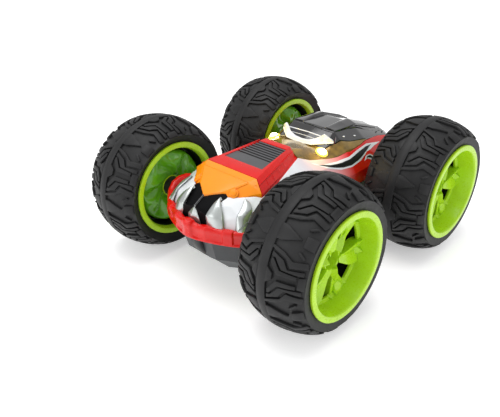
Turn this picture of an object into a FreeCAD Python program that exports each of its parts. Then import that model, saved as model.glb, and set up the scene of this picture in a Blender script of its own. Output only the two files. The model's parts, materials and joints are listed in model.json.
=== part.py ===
"""Double-sided radio-controlled stunt car: a tub chassis with two side-by-side
motors at the back, four big balloon tyres and a styled body between them.

Frame: +Z up, the nose points along -Y, the car's left is +X. The origin is on
the ground, under the middle of the tyres' box. All sizes are millimetres.
"""
import FreeCAD, Part
import math
import os

import Sketcher
from FreeCAD import Placement, Rotation, Vector

doc = FreeCAD.newDocument("StuntCar")
sheet = doc.addObject("Spreadsheet::Sheet", "Sizes")

SIZES = {
    # wheels
    "tyre_radius": 52.0, "tyre_half_width": 25.8, "tyre_shoulder_radius": 42.6,
    "track_half": 78.0, "wheelbase_half": 68.0,
    "barrel_radius": 34.8, "rim_radius": 36.2, "rim_mouth_radius": 33.0, "barrel_bore_radius": 31.6,
    "rim_outer_reach": 26.7, "rim_inner_reach": 23.8, "rim_flange": 2.0,
    "web_outer_reach": 12.8, "web_thickness": 5.0, "hub_radius": 8.6, "cup_radius": 6.4, "cup_depth": 8.0,
    "spoke_count": 6.0, "window_angle": 30.0,
    "axle_radius": 2.0, "running_gap": 0.05, "axle_inner_end": 8.0, "axle_outer_end": 79.0,
    "drive_hex_radius": 6.0, "drive_hex_depth": 6.0, "adaptor_inner": 46.0, "adaptor_outer": 62.0,
    "wheel_screw_head": 3.8, "wheel_screw_shank": 1.25,
    # gears
    "gear_module": 0.7, "pinion_teeth": 10.0, "large_gear_teeth": 34.0,
    "small_gear_teeth": 12.0, "axle_gear_teeth": 36.0,
    "inner_gear_plane": 25.2, "outer_gear_plane": 29.0, "gear_thickness": 3.0, "gear_shaft_radius": 1.0,
    # gearbox and motors
    "gearbox_half_width": 24.5, "gearbox_low": 40.0, "gearbox_high": 64.0,
    "cover_wall": 1.4, "gear_clearance": 0.6, "bush_tube_end": 38.0, "bush_tube_radius": 6.0,
    "motor_radius": 10.0, "motor_length": 23.0, "bush_radius": 4.0, "bush_length": 9.0,
    # shells
    "belly_height": 16.0, "waist_height": 52.0, "wall": 2.0, "skin": 2.0, "styling_unit": 1.0,
    # electrics
    "cell_radius": 7.2, "cell_length": 50.0, "cell_pitch": 15.0, "bay_half_width": 31.0,
    "bay_front": -53.0, "bay_rear": 4.0, "floor": 2.5, "board_height": 42.0, "board_thickness": 1.6,
    "screw_radius": 1.25,
}

for row, (alias, number) in enumerate(SIZES.items(), start=1):
    sheet.set(f"A{row}", alias.replace("_", " "))
    sheet.set(f"B{row}", str(number))
    sheet.setAlias(f"B{row}", alias)
doc.recompute()


class Length:
    """A size that carries its number and the sheet expression that it comes from."""

    def __init__(self, value, text):
        self.value = value
        self.text = text

    @staticmethod
    def of(other):
        return other if isinstance(other, Length) else Length(float(other), f"{float(other):.4f}")

    def __add__(self, other):
        other = Length.of(other)
        return Length(self.value + other.value, f"({self.text} + {other.text})")

    def __sub__(self, other):
        other = Length.of(other)
        return Length(self.value - other.value, f"({self.text} - {other.text})")

    def __mul__(self, factor):
        factor = Length.of(factor)
        return Length(self.value * factor.value, f"({self.text} * {factor.text})")

    def __neg__(self):
        return Length(-self.value, f"(0 - {self.text})")

    __radd__ = __add__
    __rmul__ = __mul__


class Sheet:
    """Reads a driving size by its name: size.tyre_radius."""

    def __getattr__(self, alias):
        return Length(float(sheet.get(alias)), f"<<Sizes>>.{alias}")


size = Sheet()
parts = {}


def unit(number):
    """A styling coordinate of the body, in the sheet's styling unit."""
    return size.styling_unit * number


def keep(node, obj):
    """Give a finished sub-part its name."""
    obj.Label = node
    parts[node] = obj
    return obj


def place(obj, x=0.0, y=0.0, z=0.0, rotation=None):
    """Turn and move an object, with its place bound to the sheet."""
    x, y, z = Length.of(x), Length.of(y), Length.of(z)
    obj.Placement = Placement(Vector(x.value, y.value, z.value), rotation or Rotation())
    for axis, length in (("x", x), ("y", y), ("z", z)):
        if "Sizes" in length.text:
            obj.setExpression(f"Placement.Base.{axis}", length.text)
    return obj


def bind(obj, **lengths):
    for name, length in lengths.items():
        obj.setExpression(name, Length.of(length).text)
    return obj


# Part primitives and booleans ---------------------------------------------------------

ALONG_X = Rotation(Vector(0, 1, 0), 90)


def box(name, x0, x1, y0, y1, z0, z1):
    x0, y0, z0 = Length.of(x0), Length.of(y0), Length.of(z0)
    obj = bind(doc.addObject("Part::Box", name),
               Length=Length.of(x1) - x0, Width=Length.of(y1) - y0, Height=Length.of(z1) - z0)
    return place(obj, x0, y0, z0)


def rod_z(name, radius, x, y, z0, z1):
    z0 = Length.of(z0)
    obj = bind(doc.addObject("Part::Cylinder", name), Radius=radius, Height=Length.of(z1) - z0)
    return place(obj, x, y, z0)


def rod_x(name, radius, x0, x1, y, z):
    """A cylinder along X, from x0 to x1."""
    x0 = Length.of(x0)
    obj = bind(doc.addObject("Part::Cylinder", name), Radius=radius, Height=Length.of(x1) - x0)
    return place(obj, x0, y, z, ALONG_X)


def cut(name, base, tool):
    obj = doc.addObject("Part::Cut", name)
    obj.Base, obj.Tool = base, tool
    return obj


def common(name, base, tool):
    obj = doc.addObject("Part::Common", name)
    obj.Base, obj.Tool = base, tool
    return obj


def fuse(name, shapes):
    obj = doc.addObject("Part::MultiFuse", name)
    obj.Shapes = shapes
    return obj


def group(name, shapes):
    """Separate solids that share one node, such as like screws."""
    obj = doc.addObject("Part::Compound", name)
    obj.Links = shapes
    return obj


# PartDesign bodies --------------------------------------------------------------------

def origin_plane(body, role):
    return next(feature for feature in body.Origin.OriginFeatures if feature.Role == role)


def hold_point(sketch, geometry, corner, x, y):
    """Fix one end of a line to the sketch's origin, by two distances from the sheet."""
    for kind, axis, length in (("DistanceX", -2, Length.of(x)), ("DistanceY", -1, Length.of(y))):
        if abs(length.value) < 1e-9:
            sketch.addConstraint(Sketcher.Constraint("PointOnObject", geometry, corner, axis))
            continue
        ends = (-1, 1, geometry, corner) if length.value > 0 else (geometry, corner, -1, 1)
        index = sketch.addConstraint(Sketcher.Constraint(kind, *ends, abs(length.value)))
        text = length.text if length.value > 0 else f"0 - {length.text}"
        if "Sizes" in text:
            sketch.setExpression(f"Constraints[{index}]", text)


def polygon(body, name, role, offset, points):
    """A closed sketch through the points, on one of the body's own planes, moved by offset."""
    sketch = body.newObject("Sketcher::SketchObject", name)
    sketch.AttachmentSupport = [(origin_plane(body, role), "")]
    sketch.MapMode = "FlatFace"
    offset = Length.of(offset)
    sketch.AttachmentOffset = Placement(Vector(0, 0, offset.value), Rotation())
    if "Sizes" in offset.text:
        sketch.setExpression("AttachmentOffset.Base.z", offset.text)
    corners = [Vector(Length.of(x).value, Length.of(y).value, 0) for x, y in points]
    count = len(corners)
    for index in range(count):
        sketch.addGeometry(Part.LineSegment(corners[index], corners[(index + 1) % count]), False)
    for index in range(count):
        sketch.addConstraint(Sketcher.Constraint("Coincident", index, 2, (index + 1) % count, 1))
    for index, (x, y) in enumerate(points):
        hold_point(sketch, index, 1, x, y)
    return sketch


def pad_body(name, role, offset, points, length):
    """A straight block: the polygon pushed along its plane's normal."""
    body = doc.addObject("PartDesign::Body", name)
    sketch = polygon(body, name + "_outline", role, offset, points)
    pad = body.newObject("PartDesign::Pad", name + "_pad")
    pad.Profile = sketch
    bind(pad, Length=length)
    return body


def revolved_body(name, points):
    """A body of revolution about X: each point is (distance along X, radius)."""
    body = doc.addObject("PartDesign::Body", name)
    sketch = polygon(body, name + "_profile", "XY_Plane", 0.0, points)
    turn = body.newObject("PartDesign::Revolution", name + "_turn")
    turn.Profile = sketch
    turn.ReferenceAxis = (sketch, ["H_Axis"])
    turn.Angle = 360.0
    return body


def loft_body(name, role, sections):
    """A solid through several polygons: each section is (offset, points)."""
    body = doc.addObject("PartDesign::Body", name)
    sketches = [polygon(body, f"{name}_section{index}", role, offset, points)
                for index, (offset, points) in enumerate(sections)]
    loft = body.newObject("PartDesign::AdditiveLoft", name + "_loft")
    loft.Profile = sketches[0]
    loft.Sections = sketches[1:]
    loft.Ruled = True
    loft.Closed = False
    return body


# Wheels -------------------------------------------------------------------------------

def tyre_profile():
    """Half of the tyre's section is a superellipse from the bead to the crown."""
    crown = size.tyre_radius - size.tyre_shoulder_radius
    roundness = 1.65
    steps = 7
    right = []
    for index in range(steps + 1):
        across = math.sin(0.5 * math.pi * (1 - index / steps))
        rise = (1 - across ** roundness) ** (1 / roundness)
        right.append((size.tyre_half_width * across, size.tyre_shoulder_radius + crown * rise))
    left = [(-x, y) for x, y in reversed(right[:-1])]
    seat = size.barrel_radius
    outer_seat = size.rim_outer_reach - size.rim_flange
    inner_seat = -(size.rim_inner_reach - size.rim_flange)
    lip = size.rim_radius
    hollow_half = size.tyre_half_width - 4.0
    hollow_low = seat + 3.0
    hollow_high = size.tyre_radius - 5.0
    shell = ([(outer_seat, seat), (outer_seat, lip + 0.4)] + right + left
             + [(inner_seat, lip + 0.4), (inner_seat, seat)])
    air = [(hollow_half, hollow_low), (hollow_half, hollow_high - 4.0), (hollow_half - 9.0, hollow_high),
           (-hollow_half + 9.0, hollow_high), (-hollow_half, hollow_high - 4.0), (-hollow_half, hollow_low)]
    return shell, air


def rim_profile():
    outer, inner = size.rim_outer_reach, -size.rim_inner_reach
    web_out = size.web_outer_reach
    web_in = web_out - size.web_thickness
    bore = size.axle_radius
    floor = web_out - size.cup_depth
    return [
        (inner, size.rim_mouth_radius), (inner, size.rim_radius),
        (inner + size.rim_flange, size.rim_radius), (inner + size.rim_flange, size.barrel_radius),
        (outer - size.rim_flange, size.barrel_radius), (outer - size.rim_flange, size.rim_radius),
        (outer, size.rim_radius), (outer, size.rim_mouth_radius),
        (web_out, size.barrel_bore_radius), (web_out, size.cup_radius),
        (floor, size.cup_radius), (floor, bore),
        (Length.of(-16.0), bore), (Length.of(-16.0), size.hub_radius),
        (web_in, size.hub_radius), (web_in, size.barrel_bore_radius),
    ]


def window_outline():
    """One opening between two spokes, in the web's plane."""
    inner = size.hub_radius + 5.0
    outer = size.barrel_bore_radius - 2.6
    half = math.radians(0.5 * size.window_angle.value)
    return [(outer * math.cos(half), outer * math.sin(half)), (inner * 1.0, inner * 0.12),
            (inner * 1.0, inner * -0.12), (outer * math.cos(half), outer * -math.sin(half))]


def cut_pattern(body, name, role, offset, points, depth, count_alias):
    """Pocket one outline and repeat it round the body's X axis."""
    sketch = polygon(body, name + "_outline", role, offset, points)
    pocket = body.newObject("PartDesign::Pocket", name)
    pocket.Profile = sketch
    pocket.Reversed = False
    bind(pocket, Length=depth)
    doc.recompute()
    pattern = body.newObject("PartDesign::PolarPattern", name + "_pattern")
    pattern.Originals = [pocket]
    pattern.Axis = (origin_plane(body, "X_Axis"), [""])
    pattern.Angle = 360.0
    bind(pattern, Occurrences=Length(0, f"<<Sizes>>.{count_alias}"))
    body.Tip = pattern
    return pattern


def hexagon(radius):
    """Corners of the drive hexagon."""
    return [(radius * math.cos(math.radians(60 * k)), radius * math.sin(math.radians(60 * k)))
            for k in range(6)]


def make_wheel(corner, side, end):
    """One wheel and its axle; side is +1 on the car's left, end is -1 at the front."""
    turn = Rotation() if side > 0 else Rotation(Vector(0, 0, 1), 180)
    centre = dict(x=size.track_half * side, y=size.wheelbase_half * end, z=size.tyre_radius, rotation=turn)

    shell_points, air_points = tyre_profile()
    shell = revolved_body(f"tyre_shell_{corner}", shell_points)
    air = revolved_body(f"tyre_air_{corner}", air_points)
    keep(f"tyre_{corner}", place(cut(f"tyre_{corner}", shell, air), **centre))

    rim = revolved_body(f"rim_{corner}", rim_profile())
    cut_pattern(rim, f"window_{corner}", "YZ_Plane", size.web_outer_reach + 1.0, window_outline(),
                size.web_thickness + 2.0, "spoke_count")
    socket = polygon(rim, f"hex_socket_outline_{corner}", "YZ_Plane", -16.0, hexagon(size.drive_hex_radius))
    pocket = rim.newObject("PartDesign::Pocket", f"hex_socket_{corner}")
    pocket.Profile = socket
    pocket.Reversed = True
    bind(pocket, Length=size.drive_hex_depth)
    keep(f"rim_{corner}", place(rim, **centre))

    inner = size.adaptor_inner - size.track_half
    outer = size.adaptor_outer - size.track_half
    disc = rod_x(f"adaptor_disc_{corner}", size.hub_radius - 1.0, inner, outer, 0.0, 0.0)
    key = pad_body(f"adaptor_key_{corner}", "YZ_Plane", outer, hexagon(size.drive_hex_radius),
                   size.drive_hex_depth)
    hole = rod_x(f"adaptor_bore_{corner}", size.axle_radius, inner - 1.0, outer + size.drive_hex_depth + 1.0,
                 0.0, 0.0)
    adaptor = cut(f"hex_adaptor_{corner}", fuse(f"adaptor_solid_{corner}", [disc, key]), hole)
    keep(f"hex_adaptor_{corner}", place(adaptor, **centre))

    start = size.axle_inner_end - size.track_half
    stop = size.axle_outer_end - size.track_half
    bar = rod_x(f"axle_bar_{corner}", size.axle_radius, start, stop, 0.0, 0.0)
    thread = rod_x(f"axle_thread_{corner}", size.wheel_screw_shank, stop - 9.0, stop + 1.0, 0.0, 0.0)
    keep(f"axle_{corner}", place(cut(f"axle_{corner}", bar, thread), **centre))

    seat = size.web_outer_reach - size.cup_depth
    shank = rod_x(f"screw_shank_{corner}", size.wheel_screw_shank, stop - 9.0, seat, 0.0, 0.0)
    head = rod_x(f"screw_head_{corner}", size.wheel_screw_head, seat, seat + 2.4, 0.0, 0.0)
    slot = box(f"screw_slot_{corner}", seat + 1.4, seat + 3.0, -3.0, 3.0, -0.5, 0.5)
    slot_across = box(f"screw_slot_across_{corner}", seat + 1.4, seat + 3.0, -0.5, 0.5, -3.0, 3.0)
    screw = cut(f"wheel_screw_{corner}", fuse(f"screw_solid_{corner}", [shank, head]),
                fuse(f"screw_cross_{corner}", [slot, slot_across]))
    keep(f"wheel_screw_{corner}", place(screw, **centre))


CORNERS = {"front_left": (1, -1), "front_right": (-1, -1), "rear_left": (1, 1), "rear_right": (-1, 1)}
for corner_name, (corner_side, corner_end) in CORNERS.items():
    make_wheel(corner_name, corner_side, corner_end)


# Gear train ---------------------------------------------------------------------------

PRESSURE_ANGLE = math.radians(25)
ADDENDUM, DEDENDUM = 0.8, 1.05
BACKLASH = 0.12


def gear_solid(teeth, thickness, x0, centre_y, centre_z, tooth_angle, bore):
    """A spur gear on an axis along X, with one tooth's middle at tooth_angle from +Y."""
    module = size.gear_module.value
    pitch = 0.5 * module * teeth
    base = pitch * math.cos(PRESSURE_ANGLE)
    tip, root = pitch + ADDENDUM * module, pitch - DEDENDUM * module
    start = max(base, root)

    def involute(radius):
        roll = math.sqrt(max(radius * radius / (base * base) - 1, 0))
        return roll - math.atan(roll)

    half_pitch_angle = 0.5 * math.pi / teeth - 0.5 * BACKLASH / pitch
    half_base_angle = half_pitch_angle + involute(pitch)
    steps = 4
    flank = [(start + (tip - start) * k / steps) for k in range(steps + 1)]
    outline = []
    for tooth in range(int(teeth)):
        middle = tooth_angle + 2 * math.pi * tooth / teeth
        rising = [(root, -half_base_angle)] + [(r, involute(r) - half_base_angle) for r in flank]
        falling = [(r, -angle) for r, angle in reversed(rising)]
        outline += [(r, middle + angle) for r, angle in rising + falling]
    corners = [Vector(x0, centre_y + r * math.cos(a), centre_z + r * math.sin(a)) for r, a in outline]
    solid = Part.Face(Part.makePolygon(corners + corners[:1])).extrude(Vector(thickness, 0, 0))
    if bore:
        middle = Vector(x0 - 1, centre_y, centre_z)
        solid = solid.cut(Part.makeCylinder(bore, thickness + 2, middle, Vector(1, 0, 0)))
    return solid


def mirror_x(shape, side):
    return shape if side > 0 else shape.mirror(Vector(0, 0, 0), Vector(1, 0, 0))


def feature(node, shape):
    obj = doc.addObject("Part::Feature", node)
    obj.Shape = shape
    obj.Placement = Placement()
    return keep(node, obj)


axle_y = size.wheelbase_half
axle_z = size.tyre_radius
reduction_y = axle_y - size.gear_module * (size.small_gear_teeth + size.axle_gear_teeth) * 0.5
motor_y = reduction_y - size.gear_module * (size.pinion_teeth + size.large_gear_teeth) * 0.5
SIDES = {"left": 1, "right": -1}

for side_name, side in SIDES.items():
    thick = size.gear_thickness.value
    shaft_bore = (size.gear_shaft_radius + size.running_gap).value
    inner_plane, outer_plane = size.inner_gear_plane.value, size.outer_gear_plane.value
    height = axle_z.value

    axle_gear = gear_solid(size.axle_gear_teeth.value, thick, inner_plane, axle_y.value, height,
                           math.pi, size.axle_radius.value)
    feature(f"axle_gear_{side_name}", mirror_x(axle_gear, side))

    small_teeth = size.small_gear_teeth.value
    small = gear_solid(small_teeth, outer_plane - inner_plane, inner_plane, reduction_y.value, height,
                       math.pi / small_teeth, shaft_bore)
    large = gear_solid(size.large_gear_teeth.value, thick, outer_plane, reduction_y.value, height,
                       math.pi, shaft_bore)
    feature(f"reduction_gear_{side_name}", mirror_x(small.fuse(large), side))

    pinion_teeth = size.pinion_teeth.value
    pinion = gear_solid(pinion_teeth, thick, outer_plane, motor_y.value, height, math.pi / pinion_teeth, 0)
    shaft_start = Vector(size.gearbox_half_width.value - 5, motor_y.value, height)
    shaft = Part.makeCylinder(size.gear_shaft_radius.value, outer_plane + thick - shaft_start.x,
                              shaft_start, Vector(1, 0, 0))
    feature(f"motor_pinion_{side_name}", mirror_x(pinion.fuse(shaft), side))


# Gearbox, motors and axle supports ----------------------------------------------------

def both_sides(name, make):
    """Make one thing on each side: make(name, low x, high x) is called twice."""
    return [make(f"{name}_{side_name}", side) for side_name, side in SIDES.items()]


def side_rod(name, radius, inner, outer, y, z, side):
    inner, outer = Length.of(inner), Length.of(outer)
    low, high = (inner, outer) if side > 0 else (-outer, -inner)
    return rod_x(name, radius, low, high, y, z)


def side_box(name, inner, outer, y0, y1, z0, z1, side):
    inner, outer = Length.of(inner), Length.of(outer)
    low, high = (inner, outer) if side > 0 else (-outer, -inner)
    return box(name, low, high, y0, y1, z0, z1)


half = size.gearbox_half_width
axle_hole = size.axle_radius + size.running_gap
gearbox_block = box("gearbox_block", -half, half, motor_y - 13.0, axle_y + 9.0, size.gearbox_low,
                    size.gearbox_high)
gearbox_cuts = [
    rod_x("motor_bay", size.motor_radius, -half, half, motor_y, axle_z),
    box("gearbox_well", -(half - 7.0), half - 7.0, motor_y + 12.0, axle_y + 6.0, size.gearbox_low + 2.0,
        size.gearbox_high + 1.0),
    rod_x("axle_bore", axle_hole, -half, half, axle_y, axle_z),
]
gearbox_cuts += both_sides("shaft_socket", lambda name, side: side_rod(
    name, size.gear_shaft_radius, half - 5.0, half, reduction_y, axle_z, side))
keep("gearbox_housing", cut("gearbox_housing", gearbox_block, fuse("gearbox_cuts", gearbox_cuts)))


def gear_tip(teeth_alias):
    """The tip radius of a gear, with the clearance that its cover leaves."""
    teeth = getattr(size, teeth_alias)
    return size.gear_module * (teeth * 0.5 + ADDENDUM) + size.gear_clearance


shaft_end = size.outer_gear_plane + size.gear_thickness + size.gear_clearance + size.cover_wall
axle_cheek = size.inner_gear_plane + size.gear_thickness + size.gear_clearance
large_cheek = size.outer_gear_plane + size.gear_thickness + size.gear_clearance
bush_inner = size.bush_tube_end - 2.0
bush_outer = bush_inner + size.bush_length


def cover_lobes(tag, side, grow):
    """The cover's outside, or its hollow when grow is nothing: one round lobe over each gear."""
    axle_lobe = side_rod(f"axle_lobe_{tag}", gear_tip("axle_gear_teeth") + grow, half, axle_cheek + grow,
                         axle_y, axle_z, side)
    large_lobe = side_rod(f"large_lobe_{tag}", gear_tip("large_gear_teeth") + grow, half, large_cheek + grow,
                          reduction_y, axle_z, side)
    pinion_lobe = side_rod(f"pinion_lobe_{tag}", gear_tip("pinion_teeth") + grow, half, large_cheek + grow,
                           motor_y, axle_z, side)
    return fuse(f"cover_lobes_{tag}", [axle_lobe, large_lobe, pinion_lobe])


for side_name, side in SIDES.items():
    outside = cover_lobes(f"outside_{side_name}", side, size.cover_wall)
    inside = cover_lobes(f"inside_{side_name}", side, size.cover_wall * 0.0)
    tube = side_rod(f"bush_tube_{side_name}", size.bush_tube_radius, axle_cheek, size.bush_tube_end,
                    axle_y, axle_z, side)
    bush_seat = side_rod(f"cover_bush_seat_{side_name}", size.bush_radius, bush_inner,
                         size.bush_tube_end + 1.0, axle_y, axle_z, side)
    tube_bore = side_rod(f"cover_axle_bore_{side_name}", size.axle_radius + 0.6, half, bush_inner + 0.5,
                         axle_y, axle_z, side)
    shaft_seat = side_rod(f"cover_shaft_seat_{side_name}", size.gear_shaft_radius, half, shaft_end + 1.0,
                          reduction_y, axle_z, side)
    cover = cut(f"gearbox_cover_{side_name}",
                fuse(f"cover_solid_{side_name}", [outside, tube]),
                fuse(f"cover_cuts_{side_name}", [inside, bush_seat, tube_bore, shaft_seat]))
    keep(f"gearbox_cover_{side_name}", cover)

    can = side_rod(f"motor_can_{side_name}", size.motor_radius, half - size.motor_length, half,
                   motor_y, axle_z, side)
    flats = box(f"motor_flats_{side_name}", -half, half, motor_y - 10.0, motor_y + 10.0, axle_z - 7.7,
                axle_z + 7.7)
    nose = side_rod(f"motor_nose_{side_name}", 3.0, half, half + 1.2, motor_y, axle_z, side)
    bearing = side_rod(f"motor_bearing_{side_name}", size.gear_shaft_radius + size.running_gap,
                       half - 7.0, half + 2.0, motor_y, axle_z, side)
    motor = cut(f"motor_{side_name}",
                fuse(f"motor_solid_{side_name}", [common(f"motor_body_{side_name}", can, flats), nose]),
                bearing)
    keep(f"motor_{side_name}", motor)

keep("reduction_shafts", group("reduction_shafts", both_sides("reduction_shaft", lambda name, side: side_rod(
    name, size.gear_shaft_radius, half - 5.0, shaft_end, reduction_y, axle_z, side))))

block_half = size.bush_tube_end
front_block = box("front_block", -block_half, block_half, -(axle_y + 5.0), -(axle_y - 5.0), axle_z - 7.0,
                  axle_z + 7.0)
front_cuts = [rod_x("front_axle_bore", axle_hole, -block_half, block_half, -axle_y, axle_z)]
front_cuts += both_sides("front_bush_seat", lambda name, side: side_rod(
    name, size.bush_radius, bush_inner, block_half, -axle_y, axle_z, side))
keep("front_axle_block", cut("front_axle_block", front_block, fuse("front_cuts", front_cuts)))

bushes = []
for corner_name, (side, end) in CORNERS.items():
    ring = side_rod(f"bush_ring_{corner_name}", size.bush_radius, bush_inner, bush_outer, axle_y * end,
                    axle_z, side)
    hole = side_rod(f"bush_hole_{corner_name}", axle_hole, bush_inner - 1.0, bush_outer + 1.0,
                    axle_y * end, axle_z, side)
    bushes.append(cut(f"bush_{corner_name}", ring, hole))
keep("axle_bushes", group("axle_bushes", bushes))


# Lower chassis ------------------------------------------------------------------------

def tub_outline(front, rear, half_width, nose_half, nose_depth, tail_half, inset=0.0):
    """Plan of the tub at one height; inset is the wall's thickness."""
    right = [(nose_half, front + inset), (half_width - inset, front + nose_depth),
             (half_width - inset, rear - 12.0), (tail_half, rear - inset)]
    return right + [(-x, y) for x, y in reversed(right)]


tub_low = dict(front=unit(-80.0), rear=unit(88.0), half_width=unit(34.0), nose_half=unit(12.0),
               nose_depth=unit(14.0), tail_half=unit(24.0))
tub_mid = dict(front=unit(-94.0), rear=unit(98.0), half_width=unit(42.0), nose_half=unit(14.0),
               nose_depth=unit(16.0), tail_half=unit(28.0))
tub_top = dict(front=unit(-100.0), rear=unit(105.0), half_width=unit(43.5), nose_half=unit(15.0),
               nose_depth=unit(18.0), tail_half=unit(31.0))
belly, waist = size.belly_height, size.waist_height
tub_mid_height = belly + 14.0
tub = loft_body("tub", "XY_Plane", [
    (belly, tub_outline(**tub_low)), (tub_mid_height, tub_outline(**tub_mid)), (waist, tub_outline(**tub_top))])
tub_hollow = loft_body("tub_hollow", "XY_Plane", [
    (belly + size.floor, tub_outline(inset=size.wall, **tub_low)),
    (tub_mid_height, tub_outline(inset=size.wall, **tub_mid)),
    (waist + 1.0, tub_outline(inset=size.wall, **tub_top))])
tub_shell = cut("tub_shell", tub, tub_hollow)

bay_wall = 2.0
bay_ring = cut("bay_ring",
               box("bay_outer", -(size.bay_half_width + bay_wall), size.bay_half_width + bay_wall,
                   size.bay_front - bay_wall, size.bay_rear + bay_wall, belly + 1.0, belly + 21.0),
               box("bay_inner", -size.bay_half_width, size.bay_half_width, size.bay_front, size.bay_rear,
                   belly, belly + 22.0))
board_posts = [rod_z(f"board_post_{index}", 2.2, x, y, belly + 1.0, size.board_height)
               for index, (x, y) in enumerate([(32.5, -46.0), (-32.5, -46.0), (32.5, 2.0), (-32.5, 2.0)])]
gearbox_posts = [rod_z(f"gearbox_post_{index}", 3.0, x, y, belly + 1.0, size.gearbox_low)
                 for index, (x, y) in enumerate([(18.0, 30.0), (-18.0, 30.0), (18.0, 72.0), (-18.0, 72.0)])]
axle_posts = [box(f"axle_post_{index}", x - 3.0, x + 3.0, -(axle_y + 4.0), -(axle_y - 4.0), belly + 1.0,
                  axle_z - 7.0) for index, x in enumerate([Length.of(20.0), Length.of(-20.0)])]
SCREW_PLACES = [(20.0, -56.6), (-20.0, -56.6), (12.0, 82.5), (-12.0, 82.5)]
screw_split = waist - 2.0
screw_posts = [rod_z(f"screw_post_{index}", 3.2, x, y, belly + 1.0, screw_split)
               for index, (x, y) in enumerate(SCREW_PLACES)]
door_screw_y = 8.0
door_boss = rod_z("door_boss", 4.0, 0.0, door_screw_y, belly + 1.0, belly + 12.0)

switch_y = 30.0
fit_gap = 0.3
door_opening = box("door_opening", -(size.bay_half_width - 1.0), size.bay_half_width - 1.0,
                   size.bay_front + 1.0, size.bay_rear, belly - 1.0, belly + size.floor + 1.0)
door_tab_opening = box("door_tab_opening", -7.0, 7.0, size.bay_rear - 1.0, door_screw_y + 5.0, belly - 1.0,
                       belly + size.floor)
door_screw_hole = rod_z("door_screw_hole", 1.6, 0.0, door_screw_y, belly, belly + 10.0)
switch_slot = box("switch_slot", -4.3, 4.3, switch_y - 2.3, switch_y + 2.3, belly - 1.0,
                  belly + size.floor + 0.5)
screw_holes = []
for index, (x, y) in enumerate(SCREW_PLACES):
    screw_holes.append(rod_z(f"screw_hole_{index}", size.screw_radius + 0.1, x, y, belly - 1.0, waist))
    screw_holes.append(rod_z(f"screw_sink_{index}", 2.8, x, y, belly - 1.0, belly + 2.0))


def axle_notches(tag):
    """Round holes where the four axles' bushes leave the shells, split at the waist."""
    return [side_rod(f"{tag}_notch_{corner_name}", size.bush_tube_radius + fit_gap, size.bush_tube_end - 4.0,
                     bush_outer + 8.0, axle_y * end, axle_z, side)
            for corner_name, (side, end) in CORNERS.items()]


chassis_solid = fuse("chassis_solid", [tub_shell, bay_ring, door_boss] + board_posts + gearbox_posts
                     + axle_posts + screw_posts)
chassis_cuts = fuse("chassis_cuts", [door_opening, door_tab_opening, door_screw_hole, switch_slot]
                    + screw_holes + axle_notches("tub"))
keep("lower_chassis", cut("lower_chassis", chassis_solid, chassis_cuts))

# Battery door with its captive screw
door_plate = box("door_plate", -(size.bay_half_width - 1.0 - fit_gap), size.bay_half_width - 1.0 - fit_gap,
                 size.bay_front + 1.0 + fit_gap, size.bay_rear - fit_gap, belly, belly + size.floor)
door_tab = box("door_tab", -6.7, 6.7, size.bay_rear - 1.0, door_screw_y + 5.0 - fit_gap, belly,
               belly + size.floor - fit_gap)
door_hole = rod_z("door_hole", size.screw_radius, 0.0, door_screw_y, belly - 1.0, belly + 4.0)
door_sink = rod_z("door_sink", 2.6, 0.0, door_screw_y, belly - 1.0, belly + 1.4)
door_grips = [box(f"door_grip_{index}", -16.0, 16.0, y, y + 1.2, belly - 1.0, belly + 0.6)
              for index, y in enumerate([-44.0, -40.5, -37.0, -33.5])]
keep("battery_door", cut("battery_door", fuse("door_solid", [door_plate, door_tab]),
                         fuse("door_cuts", [door_hole, door_sink] + door_grips)))


def screw(name, x, y, head_low, tip, head_radius):
    """A pan-head screw pointing up, with a cross recess in its head."""
    head_top = Length.of(head_low) + 1.4
    head = rod_z(f"{name}_head", head_radius, x, y, head_low, head_top)
    shank = rod_z(f"{name}_shank", size.screw_radius, x, y, head_top, tip)
    recess = fuse(f"{name}_recess", [
        box(f"{name}_recess_a", x - 1.8, x + 1.8, y - 0.4, y + 0.4, Length.of(head_low) - 1.0,
            Length.of(head_low) + 0.8),
        box(f"{name}_recess_b", x - 0.4, x + 0.4, y - 1.8, y + 1.8, Length.of(head_low) - 1.0,
            Length.of(head_low) + 0.8)])
    return cut(name, fuse(f"{name}_solid", [head, shank]), recess)


keep("battery_door_screw", screw("battery_door_screw", 0.0, door_screw_y, belly, belly + 9.0, 2.6))
keep("body_screws", group("body_screws", [
    screw(f"body_screw_{index}", x, y, belly + 0.6, waist + 8.0, 2.6)
    for index, (x, y) in enumerate(SCREW_PLACES)]))

# Power switch
switch_base = belly + size.floor
switch_block = box("switch_block", -9.0, 9.0, switch_y - 5.5, switch_y + 5.5, switch_base, switch_base + 8.0)
switch_track = box("switch_track", -7.0, 7.0, switch_y - 3.8, switch_y + 3.8, switch_base, switch_base + 2.0)
keep("switch_housing", cut("switch_housing", switch_block, switch_track))
knob = box("knob", -4.0, 0.0, switch_y - 2.0, switch_y + 2.0, belly - 1.0, switch_base + 0.3)
knob_plate = box("knob_plate", -6.5, 2.5, switch_y - 3.5, switch_y + 3.5, switch_base + 0.3, switch_base + 1.6)
knob_ribs = [box(f"knob_rib_{index}", x, x + 0.5, switch_y - 3.0, switch_y + 3.0, belly - 2.0, belly - 0.6)
             for index, x in enumerate([-3.2, -2.2, -1.2])]
keep("power_switch", cut("power_switch", fuse("switch_solid", [knob, knob_plate]),
                         fuse("knob_cuts", knob_ribs)))

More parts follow.
